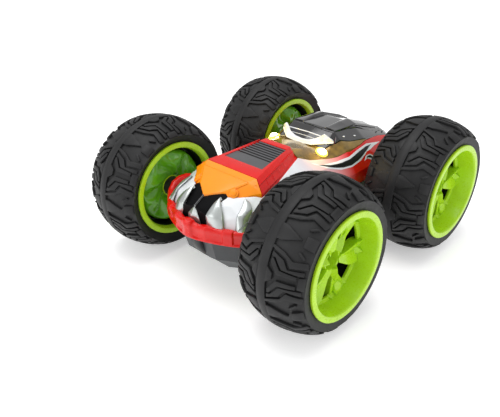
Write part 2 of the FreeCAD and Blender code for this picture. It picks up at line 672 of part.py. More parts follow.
# Cells, contacts and circuit board
cell_height = belly + size.floor + size.cell_radius + 1.0
cells = []
contacts = []
for index in range(4):
    x = size.cell_pitch * (index - 1.5)
    y = size.bay_front + 3.0
    can = place(bind(doc.addObject("Part::Cylinder", f"cell_can_{index}"), Radius=size.cell_radius,
                     Height=size.cell_length - 1.0), x, y, cell_height, Rotation(Vector(1, 0, 0), -90))
    tip = place(bind(doc.addObject("Part::Cylinder", f"cell_tip_{index}"), Radius=2.7, Height=1.0),
                x, y + size.cell_length - 1.0, cell_height, Rotation(Vector(1, 0, 0), -90))
    cells.append(fuse(f"cell_{index}", [can, tip]))
    contacts.append(box(f"contact_front_{index}", x - 4.0, x + 4.0, size.bay_front, size.bay_front + 0.6,
                        cell_height - 4.0, cell_height + 4.0))
    contacts.append(box(f"contact_rear_{index}", x - 4.0, x + 4.0, size.bay_rear - 0.6, size.bay_rear,
                        cell_height - 4.0, cell_height + 4.0))
keep("battery_cells", group("battery_cells", cells))
keep("battery_contacts", group("battery_contacts", contacts))

board_top = size.board_height + size.board_thickness
keep("circuit_board", box("circuit_board", -35.0, 35.0, -49.0, 5.0, size.board_height, board_top))
chips = [box("receiver_module", -24.0, -8.0, -42.0, -24.0, board_top, board_top + 2.4),
         box("driver_chip", 6.0, 16.0, -38.0, -30.0, board_top, board_top + 1.8),
         box("driver_chip_two", 6.0, 16.0, -24.0, -16.0, board_top, board_top + 1.8),
         rod_z("capacitor", 3.2, 24.0, -8.0, board_top, board_top + 10.0),
         box("plug_block", -26.0, -12.0, -8.0, -2.0, board_top, board_top + 6.0)]
keep("board_components", group("board_components", chips))


# Body shells --------------------------------------------------------------------------
# Half sections of the body, from the waist up to the roof's edge: (x, z) in styling
# units, at stations along Y. The skin's panels lie between the core and the outside.

STATIONS = [
    (-99.0, [(17, 52), (17, 57), (15, 62), (11, 66), (6, 69)]),
    (-88.0, [(38, 52), (38, 59), (31, 67), (20, 73), (8, 75.5)]),
    (-66.0, [(45, 52), (45, 62), (38, 72), (31.5, 77), (23.5, 83.6)]),
    (-40.0, [(44.5, 52), (44, 62), (36, 73), (25.5, 81), (18, 86)]),
    (-16.0, [(44, 52), (43, 63), (35, 75), (20, 84.5), (12, 88)]),
    (12.0, [(44, 52), (43, 63), (37, 74), (25, 80), (16, 82)]),
    (28.0, [(44, 52), (43, 62), (38, 72), (30, 82), (20, 90.5)]),
    (56.0, [(44, 52), (43, 62), (38, 70), (30, 79), (18, 89)]),
    (98.0, [(40, 52), (39, 58), (33, 65), (26, 70), (16, 74)]),
    (106.0, [(33, 52), (32, 56), (28, 62), (22, 66), (14, 69)]),
]


def body_section(station, offset):
    """The whole section, offset outwards (or inwards, when negative) except at the waist's height."""
    y, points = station
    half_points = []
    for index, (x, z) in enumerate(points):
        lift = 0.0 if index == 0 else offset * (0.15 + 0.22 * index)
        spread = offset * (1.0 - 0.1 * index)
        half_points.append((unit(x) + spread, unit(z) + lift))
    return half_points + [(-x, z) for x, z in reversed(half_points)]


def body_loft(name, offset, front_cut=0.0):
    """The body's solid, offset from the skin; the end stations move along Y as well."""
    sections = []
    for index, station in enumerate(STATIONS):
        y = unit(station[0])
        if index == 0:
            y = y - offset + front_cut
        if index == len(STATIONS) - 1:
            y = y + (offset if offset.value < 0 else 0.0) - front_cut
        sections.append((-y, body_section(station, offset)))
    return loft_body(name, "XZ_Plane", sections)


nothing = size.skin * 0.0
core = body_loft("core", -size.skin)
core_inner = body_loft("core_inner", -(size.skin + size.wall), 0.5)
skin = body_loft("skin_solid", nothing)
outer_skin = body_loft("outer_skin", size.skin * 0.8)

lamp_y0, lamp_y1, lamp_z, lamp_x, lamp_radius = unit(3.0), unit(14.0), unit(80.0), unit(23.4), unit(3.6)


def lamp_rod(name, radius, side):
    obj = bind(doc.addObject("Part::Cylinder", name), Radius=radius, Height=lamp_y1 - lamp_y0)
    return place(obj, lamp_x * side, lamp_y0, lamp_z, Rotation(Vector(1, 0, 0), -90))


lamps = both_sides("lamp", lambda name, side: lamp_rod(name, lamp_radius, side))
keep("headlights", group("headlights", lamps))
lamp_holes = fuse("lamp_holes", both_sides("lamp_hole", lambda name, side: lamp_rod(name, lamp_radius, side)))

shell_posts = [common(f"shell_post_{index}", rod_z(f"shell_post_rod_{index}", 3.2, x, y, screw_split, 90.0),
                      core) for index, (x, y) in enumerate(SCREW_PLACES)]
shell_post_holes = [rod_z(f"shell_post_hole_{index}", size.screw_radius, x, y, waist - 3.0, waist + 8.0)
                    for index, (x, y) in enumerate(SCREW_PLACES)]
shell_walls = cut("shell_walls", core, core_inner)
keep("body_shell", cut("body_shell", fuse("shell_solid", [shell_walls] + shell_posts),
                       fuse("shell_cuts", shell_post_holes + [lamp_holes] + axle_notches("shell"))))

skin_layer = cut("skin_layer", skin, fuse("skin_inside", [core, lamp_holes]))
outer_layer = cut("outer_layer", outer_skin, fuse("outer_inside", [skin, lamp_holes]))


def mirrored(right):
    """A symmetrical plan outline from its right half, listed from front to back."""
    points = [(unit(x), unit(y)) for x, y in right]
    return points + [(-x, y) for x, y in reversed(points) if x.value > 0]


def plan_block(name, points, low=53.0, high=110.0):
    return pad_body(name, "XY_Plane", unit(low), points, unit(high - low))


def side_points(right, side):
    points = [(unit(x) * side, unit(y)) for x, y in right]
    return points if side > 0 else list(reversed(points))


def panel(node, region, layer=None, without=None):
    """The piece of the skin inside a region."""
    piece = common(node + "_piece" if without else node, layer or skin_layer, region)
    return keep(node, cut(node, piece, without) if without else piece)


nose_plan = [(0, -93.0), (13.0, -82.5), (32.0, -67.5), (24.0, -63.3)]
hood_plan = [(0, -63.0), (24.0, -63.0), (32.2, -67.2), (20.5, -16.3), (0, -16.3)]
insert_plan = [(0, -52.3), (18.4, -52.3), (13.2, -20.0), (0, -20.0)]
panel("nose_panel", plan_block("nose_region", mirrored(nose_plan)))
panel("hood_insert", plan_block("insert_region", mirrored(insert_plan)))
panel("hood_panel", plan_block("hood_region", mirrored(hood_plan)),
      without=plan_block("insert_hole", mirrored(insert_plan)))

grille_plan = [(0, -101.0), (9.0, -101.0), (15.5, -84.0), (13.0, -82.8), (0, -93.3)]
panel("mouth_grille", plan_block("grille_region", mirrored(grille_plan)))
jaw_plan = [(9.3, -101.0), (48.0, -101.0), (48.0, -62.0), (33.0, -62.0), (32.4, -67.8), (13.3, -82.9), (15.8, -84.0)]
panel("jaw_panels", group("jaw_regions", both_sides("jaw_region", lambda name, side: plan_block(
    name, side_points(jaw_plan, side)))), without=fuse("jaw_cuts", axle_notches("jaw")))

brow_plan = [(0, 12.0), (21.0, 6.0), (29.0, 14.0), (21.0, 18.6), (0, 18.6)]
screen_plan = [(0, 18.9), (20.8, 18.9), (21.8, 27.0), (0, 27.0)]
roof_plan = [(0, 27.3), (22.0, 27.3), (29.3, 14.3), (31.5, 52.0), (27.0, 104.0), (0, 104.0)]
panel("brow_band", plan_block("brow_region", mirrored(brow_plan)))
panel("windshield", plan_block("screen_region", mirrored(screen_plan)))
panel("roof_canopy", plan_block("roof_region", mirrored(roof_plan)))
window_plan = [(0.0, -16.0), (20.5, -16.0), (36.0, 2.0), (38.0, 22.0), (31.8, 51.0), (29.6, 14.0), (21.2, 5.6),
               (0.0, 11.7)]
panel("cowl_windows", group("window_regions", both_sides("window_region", lambda name, side: plan_block(
    name, side_points(window_plan, side)))))

rail_plan = [(15.5, 28.0), (20.5, 28.0), (20.0, 58.0), (17.5, 92.0), (13.5, 92.0), (15.0, 58.0)]
panel("roof_rails", group("rail_regions", both_sides("rail_region", lambda name, side: plan_block(
    name, side_points(rail_plan, side), low=70.0))), layer=outer_layer)


def tooth_block(name, x, half_width, base_z, tip_z, lean, side):
    """A triangle in the front view, pushed back through the jaw."""
    triangle = [(unit(x - half_width) * side, unit(base_z)), (unit(x + half_width) * side, unit(base_z)),
                (unit(x + lean) * side, unit(tip_z))]
    if side < 0:
        triangle.reverse()
    return pad_body(name, "XZ_Plane", unit(62.0), triangle, unit(50.0))


TEETH = [(8.0, 2.6, 58.5, 65.0, 0.6), (18.5, 5.2, 58.5, 71.0, 0.4), (33.0, 4.2, 58.5, 68.5, -1.0)]
teeth_regions = [tooth_block(f"tooth_region_{index}_{side_name}", *tooth, side)
                 for index, tooth in enumerate(TEETH) for side_name, side in SIDES.items()]
panel("fangs", group("fang_regions", teeth_regions), layer=outer_layer)

lip_plan = [(0, -108.0), (14.0, -103.5), (27.0, -98.0), (38.5, -91.0), (47.5, -83.0), (50.0, -77.0), (44.0, -76.0),
            (0, -76.0)]
lip_end_plan = [(47.0, -84.0), (50.0, -77.0), (50.0, -61.0), (43.0, -61.0), (43.0, -84.0)]
lip_low, lip_high, lip_end_high = 48.6, 58.3, 66.0
lip_block = plan_block("lip_block", mirrored(lip_plan), lip_low, lip_high)
lip_ends = both_sides("lip_end", lambda name, side: plan_block(
    name, side_points(lip_end_plan, side), lip_high - 1.0, lip_end_high))
hub_room = both_sides("hub_room", lambda name, side: side_rod(
    name, size.hub_radius + 1.4, bush_inner, bush_outer + 10.0, -axle_y, axle_z, side))
lip_inside = fuse("lip_inside", [outer_skin, tub] + hub_room)
keep("bumper_lip", cut("bumper_lip", fuse("lip_solid", [lip_block] + lip_ends), lip_inside))

keep("rear_panel", box("rear_panel", unit(-20.0), unit(20.0), unit(106.0) - size.skin, unit(107.5), unit(54.5),
                       unit(63.0)))

# Checks and export --------------------------------------------------------------------

doc.recompute()
for obj in doc.Objects:
    if {"Invalid", "Error"} & set(obj.State):
        raise RuntimeError(f"{obj.Label} did not build: {obj.State}")
for node, obj in parts.items():
    if obj.Shape.isNull() or not obj.Shape.isValid() or not obj.Shape.Solids:
        raise RuntimeError(f"{node} has no valid solid")

os.makedirs("parts", exist_ok=True)
for node, obj in parts.items():
    obj.Shape.exportStep(f"parts/{node}.step")
    print(f"{node}: {obj.Shape.Volume:.0f} mm3, {len(obj.Shape.Solids)} solid(s)")
print(f"{len(parts)} sub-parts")
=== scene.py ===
"""Looks of a radio-controlled stunt car: balloon tyres with moulded tread, lime wheels
and a low toothed body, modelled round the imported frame. Lengths in tables are millimetres.
"""
import json
import math
from contextlib import contextmanager

import bpy
from bpy.props import FloatProperty, FloatVectorProperty, IntProperty, PointerProperty
from mathutils import Matrix, Vector


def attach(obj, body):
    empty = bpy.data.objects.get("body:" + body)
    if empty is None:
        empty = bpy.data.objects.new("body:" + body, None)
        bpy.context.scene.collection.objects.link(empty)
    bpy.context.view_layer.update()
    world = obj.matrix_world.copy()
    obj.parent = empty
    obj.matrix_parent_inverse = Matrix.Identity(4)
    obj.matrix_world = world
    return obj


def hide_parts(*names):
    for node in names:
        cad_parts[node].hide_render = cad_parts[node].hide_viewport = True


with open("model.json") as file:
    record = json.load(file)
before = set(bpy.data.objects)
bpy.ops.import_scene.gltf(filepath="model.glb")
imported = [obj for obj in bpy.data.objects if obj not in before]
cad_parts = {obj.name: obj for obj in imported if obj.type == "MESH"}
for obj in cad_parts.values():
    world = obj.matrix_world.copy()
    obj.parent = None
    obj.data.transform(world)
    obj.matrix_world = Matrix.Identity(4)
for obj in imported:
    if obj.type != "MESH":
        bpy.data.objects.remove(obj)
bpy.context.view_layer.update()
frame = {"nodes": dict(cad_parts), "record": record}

bl_info = {
    "name": "Stunt Car Model",
    "version": (1, 0, 0),
    "blender": (4, 5, 0),
    "location": "View3D > Sidebar > Stunt Car",
    "description": "Models the tyres, wheels and body of a radio-controlled stunt car",
    "category": "Object",
}

MM = 0.001
CORNERS = ("front_left", "front_right", "rear_left", "rear_right")
# Depths of the body's layers under its skin, in millimetres.
LAYER_BACK, INSET_BACK = -1.9, -1.85


# Settings -----------------------------------------------------------------------------

def colour_setting(name, description, default):
    return FloatVectorProperty(name=name, description=description, subtype="COLOR", size=3,
                               min=0.0, max=1.0, default=default)


def length_setting(name, description, default):
    return FloatProperty(name=name, description=description, subtype="DISTANCE", unit="LENGTH",
                         min=0.0, default=default * MM)


class CarColours(bpy.types.PropertyGroup):
    rubber: colour_setting("Rubber", "Colour of the tyres", (0.0105, 0.0105, 0.0110))
    lime: colour_setting("Lime", "Colour of the wheels", (0.40, 0.66, 0.012))
    red: colour_setting("Red", "Colour of the hood, bumper and rear sides", (0.66, 0.005, 0.003))
    orange: colour_setting("Orange", "Colour of the nose", (0.95, 0.28, 0.004))
    white: colour_setting("White", "Colour of the jaw, brow and front sides", (0.74, 0.76, 0.79))
    chassis: colour_setting("Chassis", "Colour of the tub", (0.045, 0.048, 0.052))
    insert: colour_setting("Insert", "Colour of the hood's louvred insert", (0.085, 0.085, 0.09))
    amber: colour_setting("Amber", "Tint of the windows round the lamps", (0.36, 0.22, 0.03))
    glow: colour_setting("Glow", "Colour of the lit lamps", (1.0, 0.90, 0.55))


class TyreSizes(bpy.types.PropertyGroup):
    groove_depth: length_setting("Groove depth", "Height of the tread's lugs over its floor", 1.7)
    lug_bevel: length_setting("Lug bevel", "Rounding of the lugs' edges", 0.4)
    periods: IntProperty(name="Pattern repeats", description="Repeats of the tread round the tyre",
                         min=3, max=12, default=6)
    steps: IntProperty(name="Carcass steps", description="Segments round the tyre's carcass",
                       min=48, max=240, default=144)


class WheelSizes(bpy.types.PropertyGroup):
    web_face: length_setting("Web face", "Outer face of the spokes from the wheel's middle", 12.8)
    lip_bevel: length_setting("Lip bevel", "Rounding of the rim's edges", 0.5)
    claw_reach: length_setting("Claw reach", "Height of the spokes' claws over the web", 4.0)
    steps: IntProperty(name="Rim steps", description="Segments round the rim", min=48, max=240, default=120)


class BodySizes(bpy.types.PropertyGroup):
    panel_bevel: length_setting("Panel bevel", "Rounding of the panels' edges", 0.45)
    slats: IntProperty(name="Louvre slats", description="Slats in the hood's insert", min=2, max=12, default=7)
    rib_pitch: length_setting("Rib pitch", "Spacing of the ribs in the mouth", 1.9)


class StageSettings(bpy.types.PropertyGroup):
    camera_place: FloatVectorProperty(name="Camera", description="Place of the camera", subtype="TRANSLATION",
                                      unit="LENGTH", size=3, default=(0.2662, -0.3260, 0.2572))
    azimuth: FloatProperty(name="Azimuth", description="Turn of the view round the car", subtype="ANGLE",
                           unit="ROTATION", default=math.radians(43.45))
    elevation: FloatProperty(name="Elevation", description="Height of the view over the floor", subtype="ANGLE",
                             unit="ROTATION", default=math.radians(28.71))
    roll: FloatProperty(name="Roll", description="Tilt of the view", subtype="ANGLE", unit="ROTATION",
                        default=math.radians(-0.41))
    lens: FloatProperty(name="Lens", description="Focal length", subtype="DISTANCE_CAMERA", default=42.82)


# Modelling helpers --------------------------------------------------------------------

def deselect():
    """Leaves edit mode and selects nothing."""
    active = bpy.context.view_layer.objects.active
    if active and active.mode != "OBJECT":
        bpy.ops.object.mode_set(mode="OBJECT")
    bpy.ops.object.select_all(action="DESELECT")


def choose(obj):
    """Makes one object the only selected one, and the active one."""
    deselect()
    obj.select_set(True)
    bpy.context.view_layer.objects.active = obj


def added(name):
    """The primitive that was just added, under its own name."""
    obj = bpy.context.view_layer.objects.active
    obj.name = name
    obj.data.name = name
    return obj


@contextmanager
def editing(obj, kind="FACE"):
    """Edit mode on one object with everything selected."""
    choose(obj)
    bpy.ops.object.mode_set(mode="EDIT")
    bpy.ops.mesh.select_mode(type=kind)
    bpy.ops.mesh.select_all(action="SELECT")
    yield
    bpy.ops.object.mode_set(mode="OBJECT")


def outline_face(name, points, filled=True):
    """A flat face, or a closed line, through points in millimetres."""
    deselect()
    bpy.ops.mesh.primitive_circle_add(vertices=len(points), fill_type="NGON" if filled else "NOTHING")
    obj = added(name)
    for vertex, place in zip(obj.data.vertices, points):
        vertex.co = Vector(place) * MM
    return obj


def prism(name, outline, low, high, along="Z"):
    """An outline swept along an axis: (x, y) for Z, (y, z) for X, (x, z) for Y."""
    lift = {"X": lambda p: (low, p[0], p[1]), "Y": lambda p: (p[0], low, p[1]),
            "Z": lambda p: (p[0], p[1], low)}
    step = {"Z": (0, 0, high - low), "X": (high - low, 0, 0), "Y": (0, high - low, 0)}[along]
    obj = outline_face(name, [lift[along](p) for p in outline])
    with editing(obj):
        bpy.ops.mesh.extrude_region_move(TRANSFORM_OT_translate={"value": Vector(step) * MM})
        bpy.ops.mesh.select_all(action="SELECT")
        bpy.ops.mesh.normals_make_consistent(inside=False)
    return obj


def slice_off(obj, *planes):
    """Cuts away what lies on the normal's side of each plane, given as (point, normal)."""
    with editing(obj):
        for point, normal in planes:
            bpy.ops.mesh.select_all(action="SELECT")
            bpy.ops.mesh.bisect(plane_co=Vector(point) * MM, plane_no=Vector(normal).normalized(),
                                use_fill=True, clear_outer=True, threshold=1e-7)
        bpy.ops.mesh.select_all(action="SELECT")
        bpy.ops.mesh.remove_doubles(threshold=0.2 * MM)
        bpy.ops.mesh.normals_make_consistent(inside=False)
    return obj


def upward_plane(first, second, third):
    """The plane through three points, its normal pointing up."""
    normal = (Vector(second) - Vector(first)).cross(Vector(third) - Vector(first))
    return first, (normal if normal.z > 0 else -normal)


def mirrored_plane(plane):
    """The same plane on the car's other side."""
    point, normal = plane
    return (-point[0], point[1], point[2]), (-normal[0], normal[1], normal[2])


def modify(obj, kind, **settings):
    """Adds a modifier, sets it up and applies it."""
    choose(obj)
    bpy.ops.object.modifier_add(type=kind)
    modifier = obj.modifiers[-1]
    for name, value in settings.items():
        setattr(modifier, name, value)
    bpy.ops.object.modifier_apply(modifier=modifier.name)
    return obj


def soften(obj, width, segments=2, angle=30.0, smooth=35.0):
    """Rounds the edges sharper than an angle and shades the rest smooth."""
    modify(obj, "BEVEL", width=width, segments=segments, limit_method="ANGLE",
           angle_limit=math.radians(angle), use_clamp_overlap=True, harden_normals=False)
    return shade(obj, smooth)


def shade(obj, angle=35.0):
    """Shades smooth across edges flatter than an angle."""
    choose(obj)
    bpy.ops.object.shade_smooth_by_angle(angle=math.radians(angle))
    return obj


def combine(obj, tool, operation):
    """Boolean of two solids; the tool is used up."""
    modify(obj, "BOOLEAN", object=tool, operation=operation, solver="EXACT")
    bpy.data.objects.remove(tool)
    return obj


def joined(name, pieces):
    """One object from several, under one name."""
    choose(pieces[0])
    for piece in pieces[1:]:
        piece.select_set(True)
    if len(pieces) > 1:
        bpy.ops.object.join()
    return added(name)


def copied(obj, name, matrix=Matrix.Identity(4)):
    """A copy with its own mesh, moved there."""
    twin = obj.copy()
    twin.data = obj.data.copy()
    twin.name = name
    twin.data.name = name
    bpy.context.scene.collection.objects.link(twin)
    twin.data.transform(matrix)
    if matrix.determinant() < 0:
        twin.data.flip_normals()
    return twin


MIRROR_X = Matrix.Scale(-1, 4, (1, 0, 0))


def both_sides(name, piece):
    """The piece and its mirror image, joined."""
    return joined(name, [piece, copied(piece, name + "_mirror", MIRROR_X)])


def remapped(obj, place):
    """Moves every vertex to place(co), in millimetres both ways."""
    for vertex in obj.data.vertices:
        vertex.co = Vector(place(vertex.co / MM)) * MM
    return obj


def grid(name, across, along, place):
    """A sheet whose points are place(u, v), with u and v from 0 to 1."""
    deselect()
    bpy.ops.mesh.primitive_grid_add(x_subdivisions=across, y_subdivisions=along, size=1.0)
    obj = added(name)
    for vertex in obj.data.vertices:
        vertex.co = Vector(place(vertex.co.x + 0.5, vertex.co.y + 0.5)) * MM
    return obj


def spun(name, profile, steps):
    """A ring round the X axis from a closed (x, radius) outline."""
    obj = outline_face(name, [(x, 0.0, r) for x, r in profile], filled=False)
    with editing(obj, "VERT"):
        bpy.ops.mesh.spin(steps=steps, angle=2 * math.pi, center=(0, 0, 0), axis=(1, 0, 0))
        bpy.ops.mesh.select_all(action="SELECT")
        bpy.ops.mesh.remove_doubles(threshold=1e-6)
        bpy.ops.mesh.normals_make_consistent(inside=False)
    return obj


def facing(obj, direction):
    """Turns a sheet's front towards a direction."""
    with editing(obj):
        bpy.ops.mesh.normals_make_consistent(inside=False)
    if sum(p.area * p.normal.dot(Vector(direction)) for p in obj.data.polygons) < 0:
        obj.data.flip_normals()
    return obj


def thickened(obj, thickness, direction):
    """Gives a sheet a thickness behind its side that faces a direction."""
    facing(obj, direction)
    return modify(obj, "SOLIDIFY", thickness=thickness * MM, offset=-1.0, use_even_offset=True)


def on_line(line, share):
    """The point at a share of a line's length."""
    runs = [0.0]
    for before, after in zip(line, line[1:]):
        runs.append(runs[-1] + math.dist(before[:3], after[:3]))
    target = min(1.0, max(0.0, share)) * runs[-1]
    index = max(i for i in range(len(line) - 1) if runs[i] <= target)
    t = (target - runs[index]) / (runs[index + 1] - runs[index])
    return [a + (b - a) * t for a, b in zip(line[index], line[index + 1])]


def ruled(name, near, far, across, along, swell=lambda u, v: (0.0, 0.0, 0.0)):
    """A sheet between two lines, swollen by a vector that depends on the place."""
    return grid(name, across, along, lambda u, v: Vector(on_line(near, v)).lerp(Vector(on_line(far, v)), u)
                + Vector(swell(u, v)))


def swept(name, steps, section, place):
    """A closed section carried along a path; place(share, outward, up) gives each point."""
    loop = list(section) + [section[0]]
    last = len(section)
    obj = grid(name, steps, last, lambda u, v: place(u, *loop[round(v * last)]))
    with editing(obj, "VERT"):
        bpy.ops.mesh.remove_doubles(threshold=1e-6)
        bpy.ops.mesh.select_all(action="SELECT")
        bpy.ops.mesh.fill_holes(sides=0)
        bpy.ops.mesh.select_all(action="SELECT")
        bpy.ops.mesh.normals_make_consistent(inside=False)
    return obj


def rod(name, start, end, radius, sides=8):
    """A round bar between two points."""
    start, end = Vector(start), Vector(end)
    deselect()
    bpy.ops.mesh.primitive_cylinder_add(vertices=sides, radius=radius * MM, depth=(end - start).length * MM)
    obj = added(name)
    turn = (end - start).to_track_quat("Z", "Y").to_matrix().to_4x4()
    obj.data.transform(Matrix.Translation((start + end) * 0.5 * MM) @ turn)
    return obj


def dome(name, place, radius, flat=1.0, segments=20):
    """A ball, flattened along Z."""
    deselect()
    bpy.ops.mesh.primitive_uv_sphere_add(segments=segments, ring_count=segments // 2, radius=radius * MM)
    obj = added(name)
    obj.data.transform(Matrix.Translation(Vector(place) * MM) @ Matrix.Scale(flat, 4, (0, 0, 1)))
    return shade(obj, 60.0)


def finished(piece, material, body, slot, *nodes):
    """Gives a piece its material and its body, and hides the nodes it stands for; the slot is not used."""
    piece.data.materials.clear()
    piece.data.materials.append(material)
    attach(piece, body)
    if nodes:
        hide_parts(*nodes)
    return piece


def curve_through(points, steps=6):
    """A smooth line through points."""
    line = []
    ends = [points[0]] + list(points) + [points[-1]]
    for index in range(len(points) - 1):
        a, b, c, d = (Vector(p) for p in ends[index:index + 4])
        for step in range(steps):
            t = step / steps
            line.append(0.5 * (2 * b + (c - a) * t + (2 * a - 5 * b + 4 * c - d) * t ** 2
                               + (3 * b - a - 3 * c + d) * t ** 3))
    return [tuple(p) for p in line] + [tuple(points[-1])]


# Materials ----------------------------------------------------------------------------

class Nodes:
    """Builds one material's node tree."""

    def __init__(self, name):
        self.material = bpy.data.materials.new(name)
        self.material.use_nodes = True
        self.tree = self.material.node_tree
        self.shader = self.tree.nodes["Principled BSDF"]
        self.place = self.tree.nodes.new("ShaderNodeTexCoord").outputs["Object"]

    def add(self, kind, **settings):
        node = self.tree.nodes.new(kind)
        for name, value in settings.items():
            if name in node.inputs:
                node.inputs[name].default_value = value
            else:
                setattr(node, name, value)
        return node

    def link(self, source, target):
        self.tree.links.new(source, target)

    def set(self, **settings):
        for name, value in settings.items():
            self.shader.inputs[name.replace("_", " ")].default_value = value

    def noise(self, scale, detail=3.0):
        node = self.add("ShaderNodeTexNoise", Scale=scale, Detail=detail)
        self.link(self.place, node.inputs["Vector"])
        return node.outputs["Fac"]

    def ramp(self, value, stops):
        node = self.add("ShaderNodeValToRGB")
        elements = node.color_ramp.elements
        while len(elements) < len(stops):
            elements.new(0.5)
        for element, (position, colour) in zip(elements, stops):
            element.position = position
            element.color = (*colour, 1.0)
        self.link(value, node.inputs["Fac"])
        return node.outputs["Color"]

    def bump(self, height, strength, distance):
        node = self.add("ShaderNodeBump", Strength=strength, Distance=distance)
        self.link(height, node.inputs["Height"])
        self.link(node.outputs["Normal"], self.shader.inputs["Normal"])


def shades(colour, spread):
    """A darker and a lighter tone of one colour."""
    return ([(0.3, tuple(c * (1 - spread) for c in colour)),
             (0.7, tuple(min(1.0, c * (1 + spread)) for c in colour))])


def plastic(name, colour, roughness, coat=0.0, grain=0.0, spread=0.04, metallic=0.0, gloss=0.35):
    """Moulded plastic: slight clouding of its colour, uneven gloss and moulded grain."""
    nodes = Nodes(name)
    cloud = nodes.noise(120.0)
    nodes.link(nodes.ramp(cloud, shades(colour, spread)), nodes.shader.inputs["Base Color"])
    wear = nodes.add("ShaderNodeMapRange")
    wear.inputs["To Min"].default_value = roughness * 0.85
    wear.inputs["To Max"].default_value = min(1.0, roughness * 1.15)
    nodes.link(nodes.noise(700.0), wear.inputs["Value"])
    nodes.link(wear.outputs["Result"], nodes.shader.inputs["Roughness"])
    nodes.set(Metallic=metallic, Coat_Weight=coat, Coat_Roughness=0.06, Specular_IOR_Level=gloss)
    nodes.bump(nodes.noise(2600.0 if grain else 260.0, 4.0), 0.5, (grain or 0.02) * MM)
    return nodes.material


def rubber_material(colour):
    """Matt rubber with a fine moulded grain and a faint bloom."""
    nodes = Nodes("tyre rubber")
    pale = tuple(c * 1.5 + 0.004 for c in colour)
    bloom = nodes.ramp(nodes.noise(55.0, 5.0), [(0.35, colour), (0.75, pale)])
    nodes.link(bloom, nodes.shader.inputs["Base Color"])
    gloss = nodes.add("ShaderNodeMapRange")
    gloss.inputs["To Min"].default_value = 0.42
    gloss.inputs["To Max"].default_value = 0.62
    nodes.link(nodes.noise(240.0), gloss.inputs["Value"])
    nodes.link(gloss.outputs["Result"], nodes.shader.inputs["Roughness"])
    nodes.set(Specular_IOR_Level=0.28)
    nodes.bump(nodes.noise(1900.0, 5.0), 0.55, 0.05 * MM)
    return nodes.material


def side_paint(white, red):
    """White nose that runs through pink into red towards the tail."""
    nodes = Nodes("side paint")
    split = nodes.add("ShaderNodeSeparateXYZ")
    nodes.link(nodes.place, split.inputs["Vector"])
    run = nodes.add("ShaderNodeMapRange")
    run.inputs["From Min"].default_value = -0.045
    run.inputs["From Max"].default_value = 0.045
    nodes.link(split.outputs["Y"], run.inputs["Value"])
    pink = tuple(0.5 * w + 0.5 * r for w, r in zip(white, red))
    paint = nodes.ramp(run.outputs["Result"], [(0.22, white), (0.55, pink), (0.82, red)])
    nodes.link(paint, nodes.shader.inputs["Base Color"])
    nodes.set(Roughness=0.26, Coat_Weight=0.15, Coat_Roughness=0.05, Specular_IOR_Level=0.35)
    nodes.bump(nodes.noise(260.0), 0.5, 0.02 * MM)
    return nodes.material


def lit_material(name, colour, strength):
    """A lit lamp: bright, its colour clouded a little."""
    nodes = Nodes(name)
    nodes.link(nodes.ramp(nodes.noise(400.0), shades(colour, 0.08)), nodes.shader.inputs["Base Color"])
    nodes.set(Roughness=0.1, Emission_Color=(*colour, 1.0), Emission_Strength=strength)
    return nodes.material


def tinted_window(colour):
    """Clear amber plastic over a bright foil, with darker streaks painted in as the shade of its facets."""
    nodes = Nodes("amber window")
    # The darker streaks are painted shade of the window's facets, placed at random.
    streaks = nodes.noise(90.0, 2.0)
    nodes.link(nodes.ramp(streaks, [(0.35, tuple(c * 0.35 for c in colour)), (0.65, colour)]),
               nodes.shader.inputs["Base Color"])
    nodes.set(Metallic=0.45, Roughness=0.2, Coat_Weight=0.6, Coat_Roughness=0.03)
    nodes.bump(nodes.noise(120.0), 0.6, 0.3 * MM)
    return nodes.material


def metal(name, colour, roughness, turned=900.0):
    """Bare metal with fine machining marks."""
    nodes = Nodes(name)
    marks = nodes.noise(turned, 6.0)
    nodes.link(nodes.ramp(marks, shades(colour, 0.12)), nodes.shader.inputs["Base Color"])
    nodes.set(Metallic=1.0, Roughness=roughness)
    nodes.bump(marks, 0.3, 0.02 * MM)
    return nodes.material


materials = {}


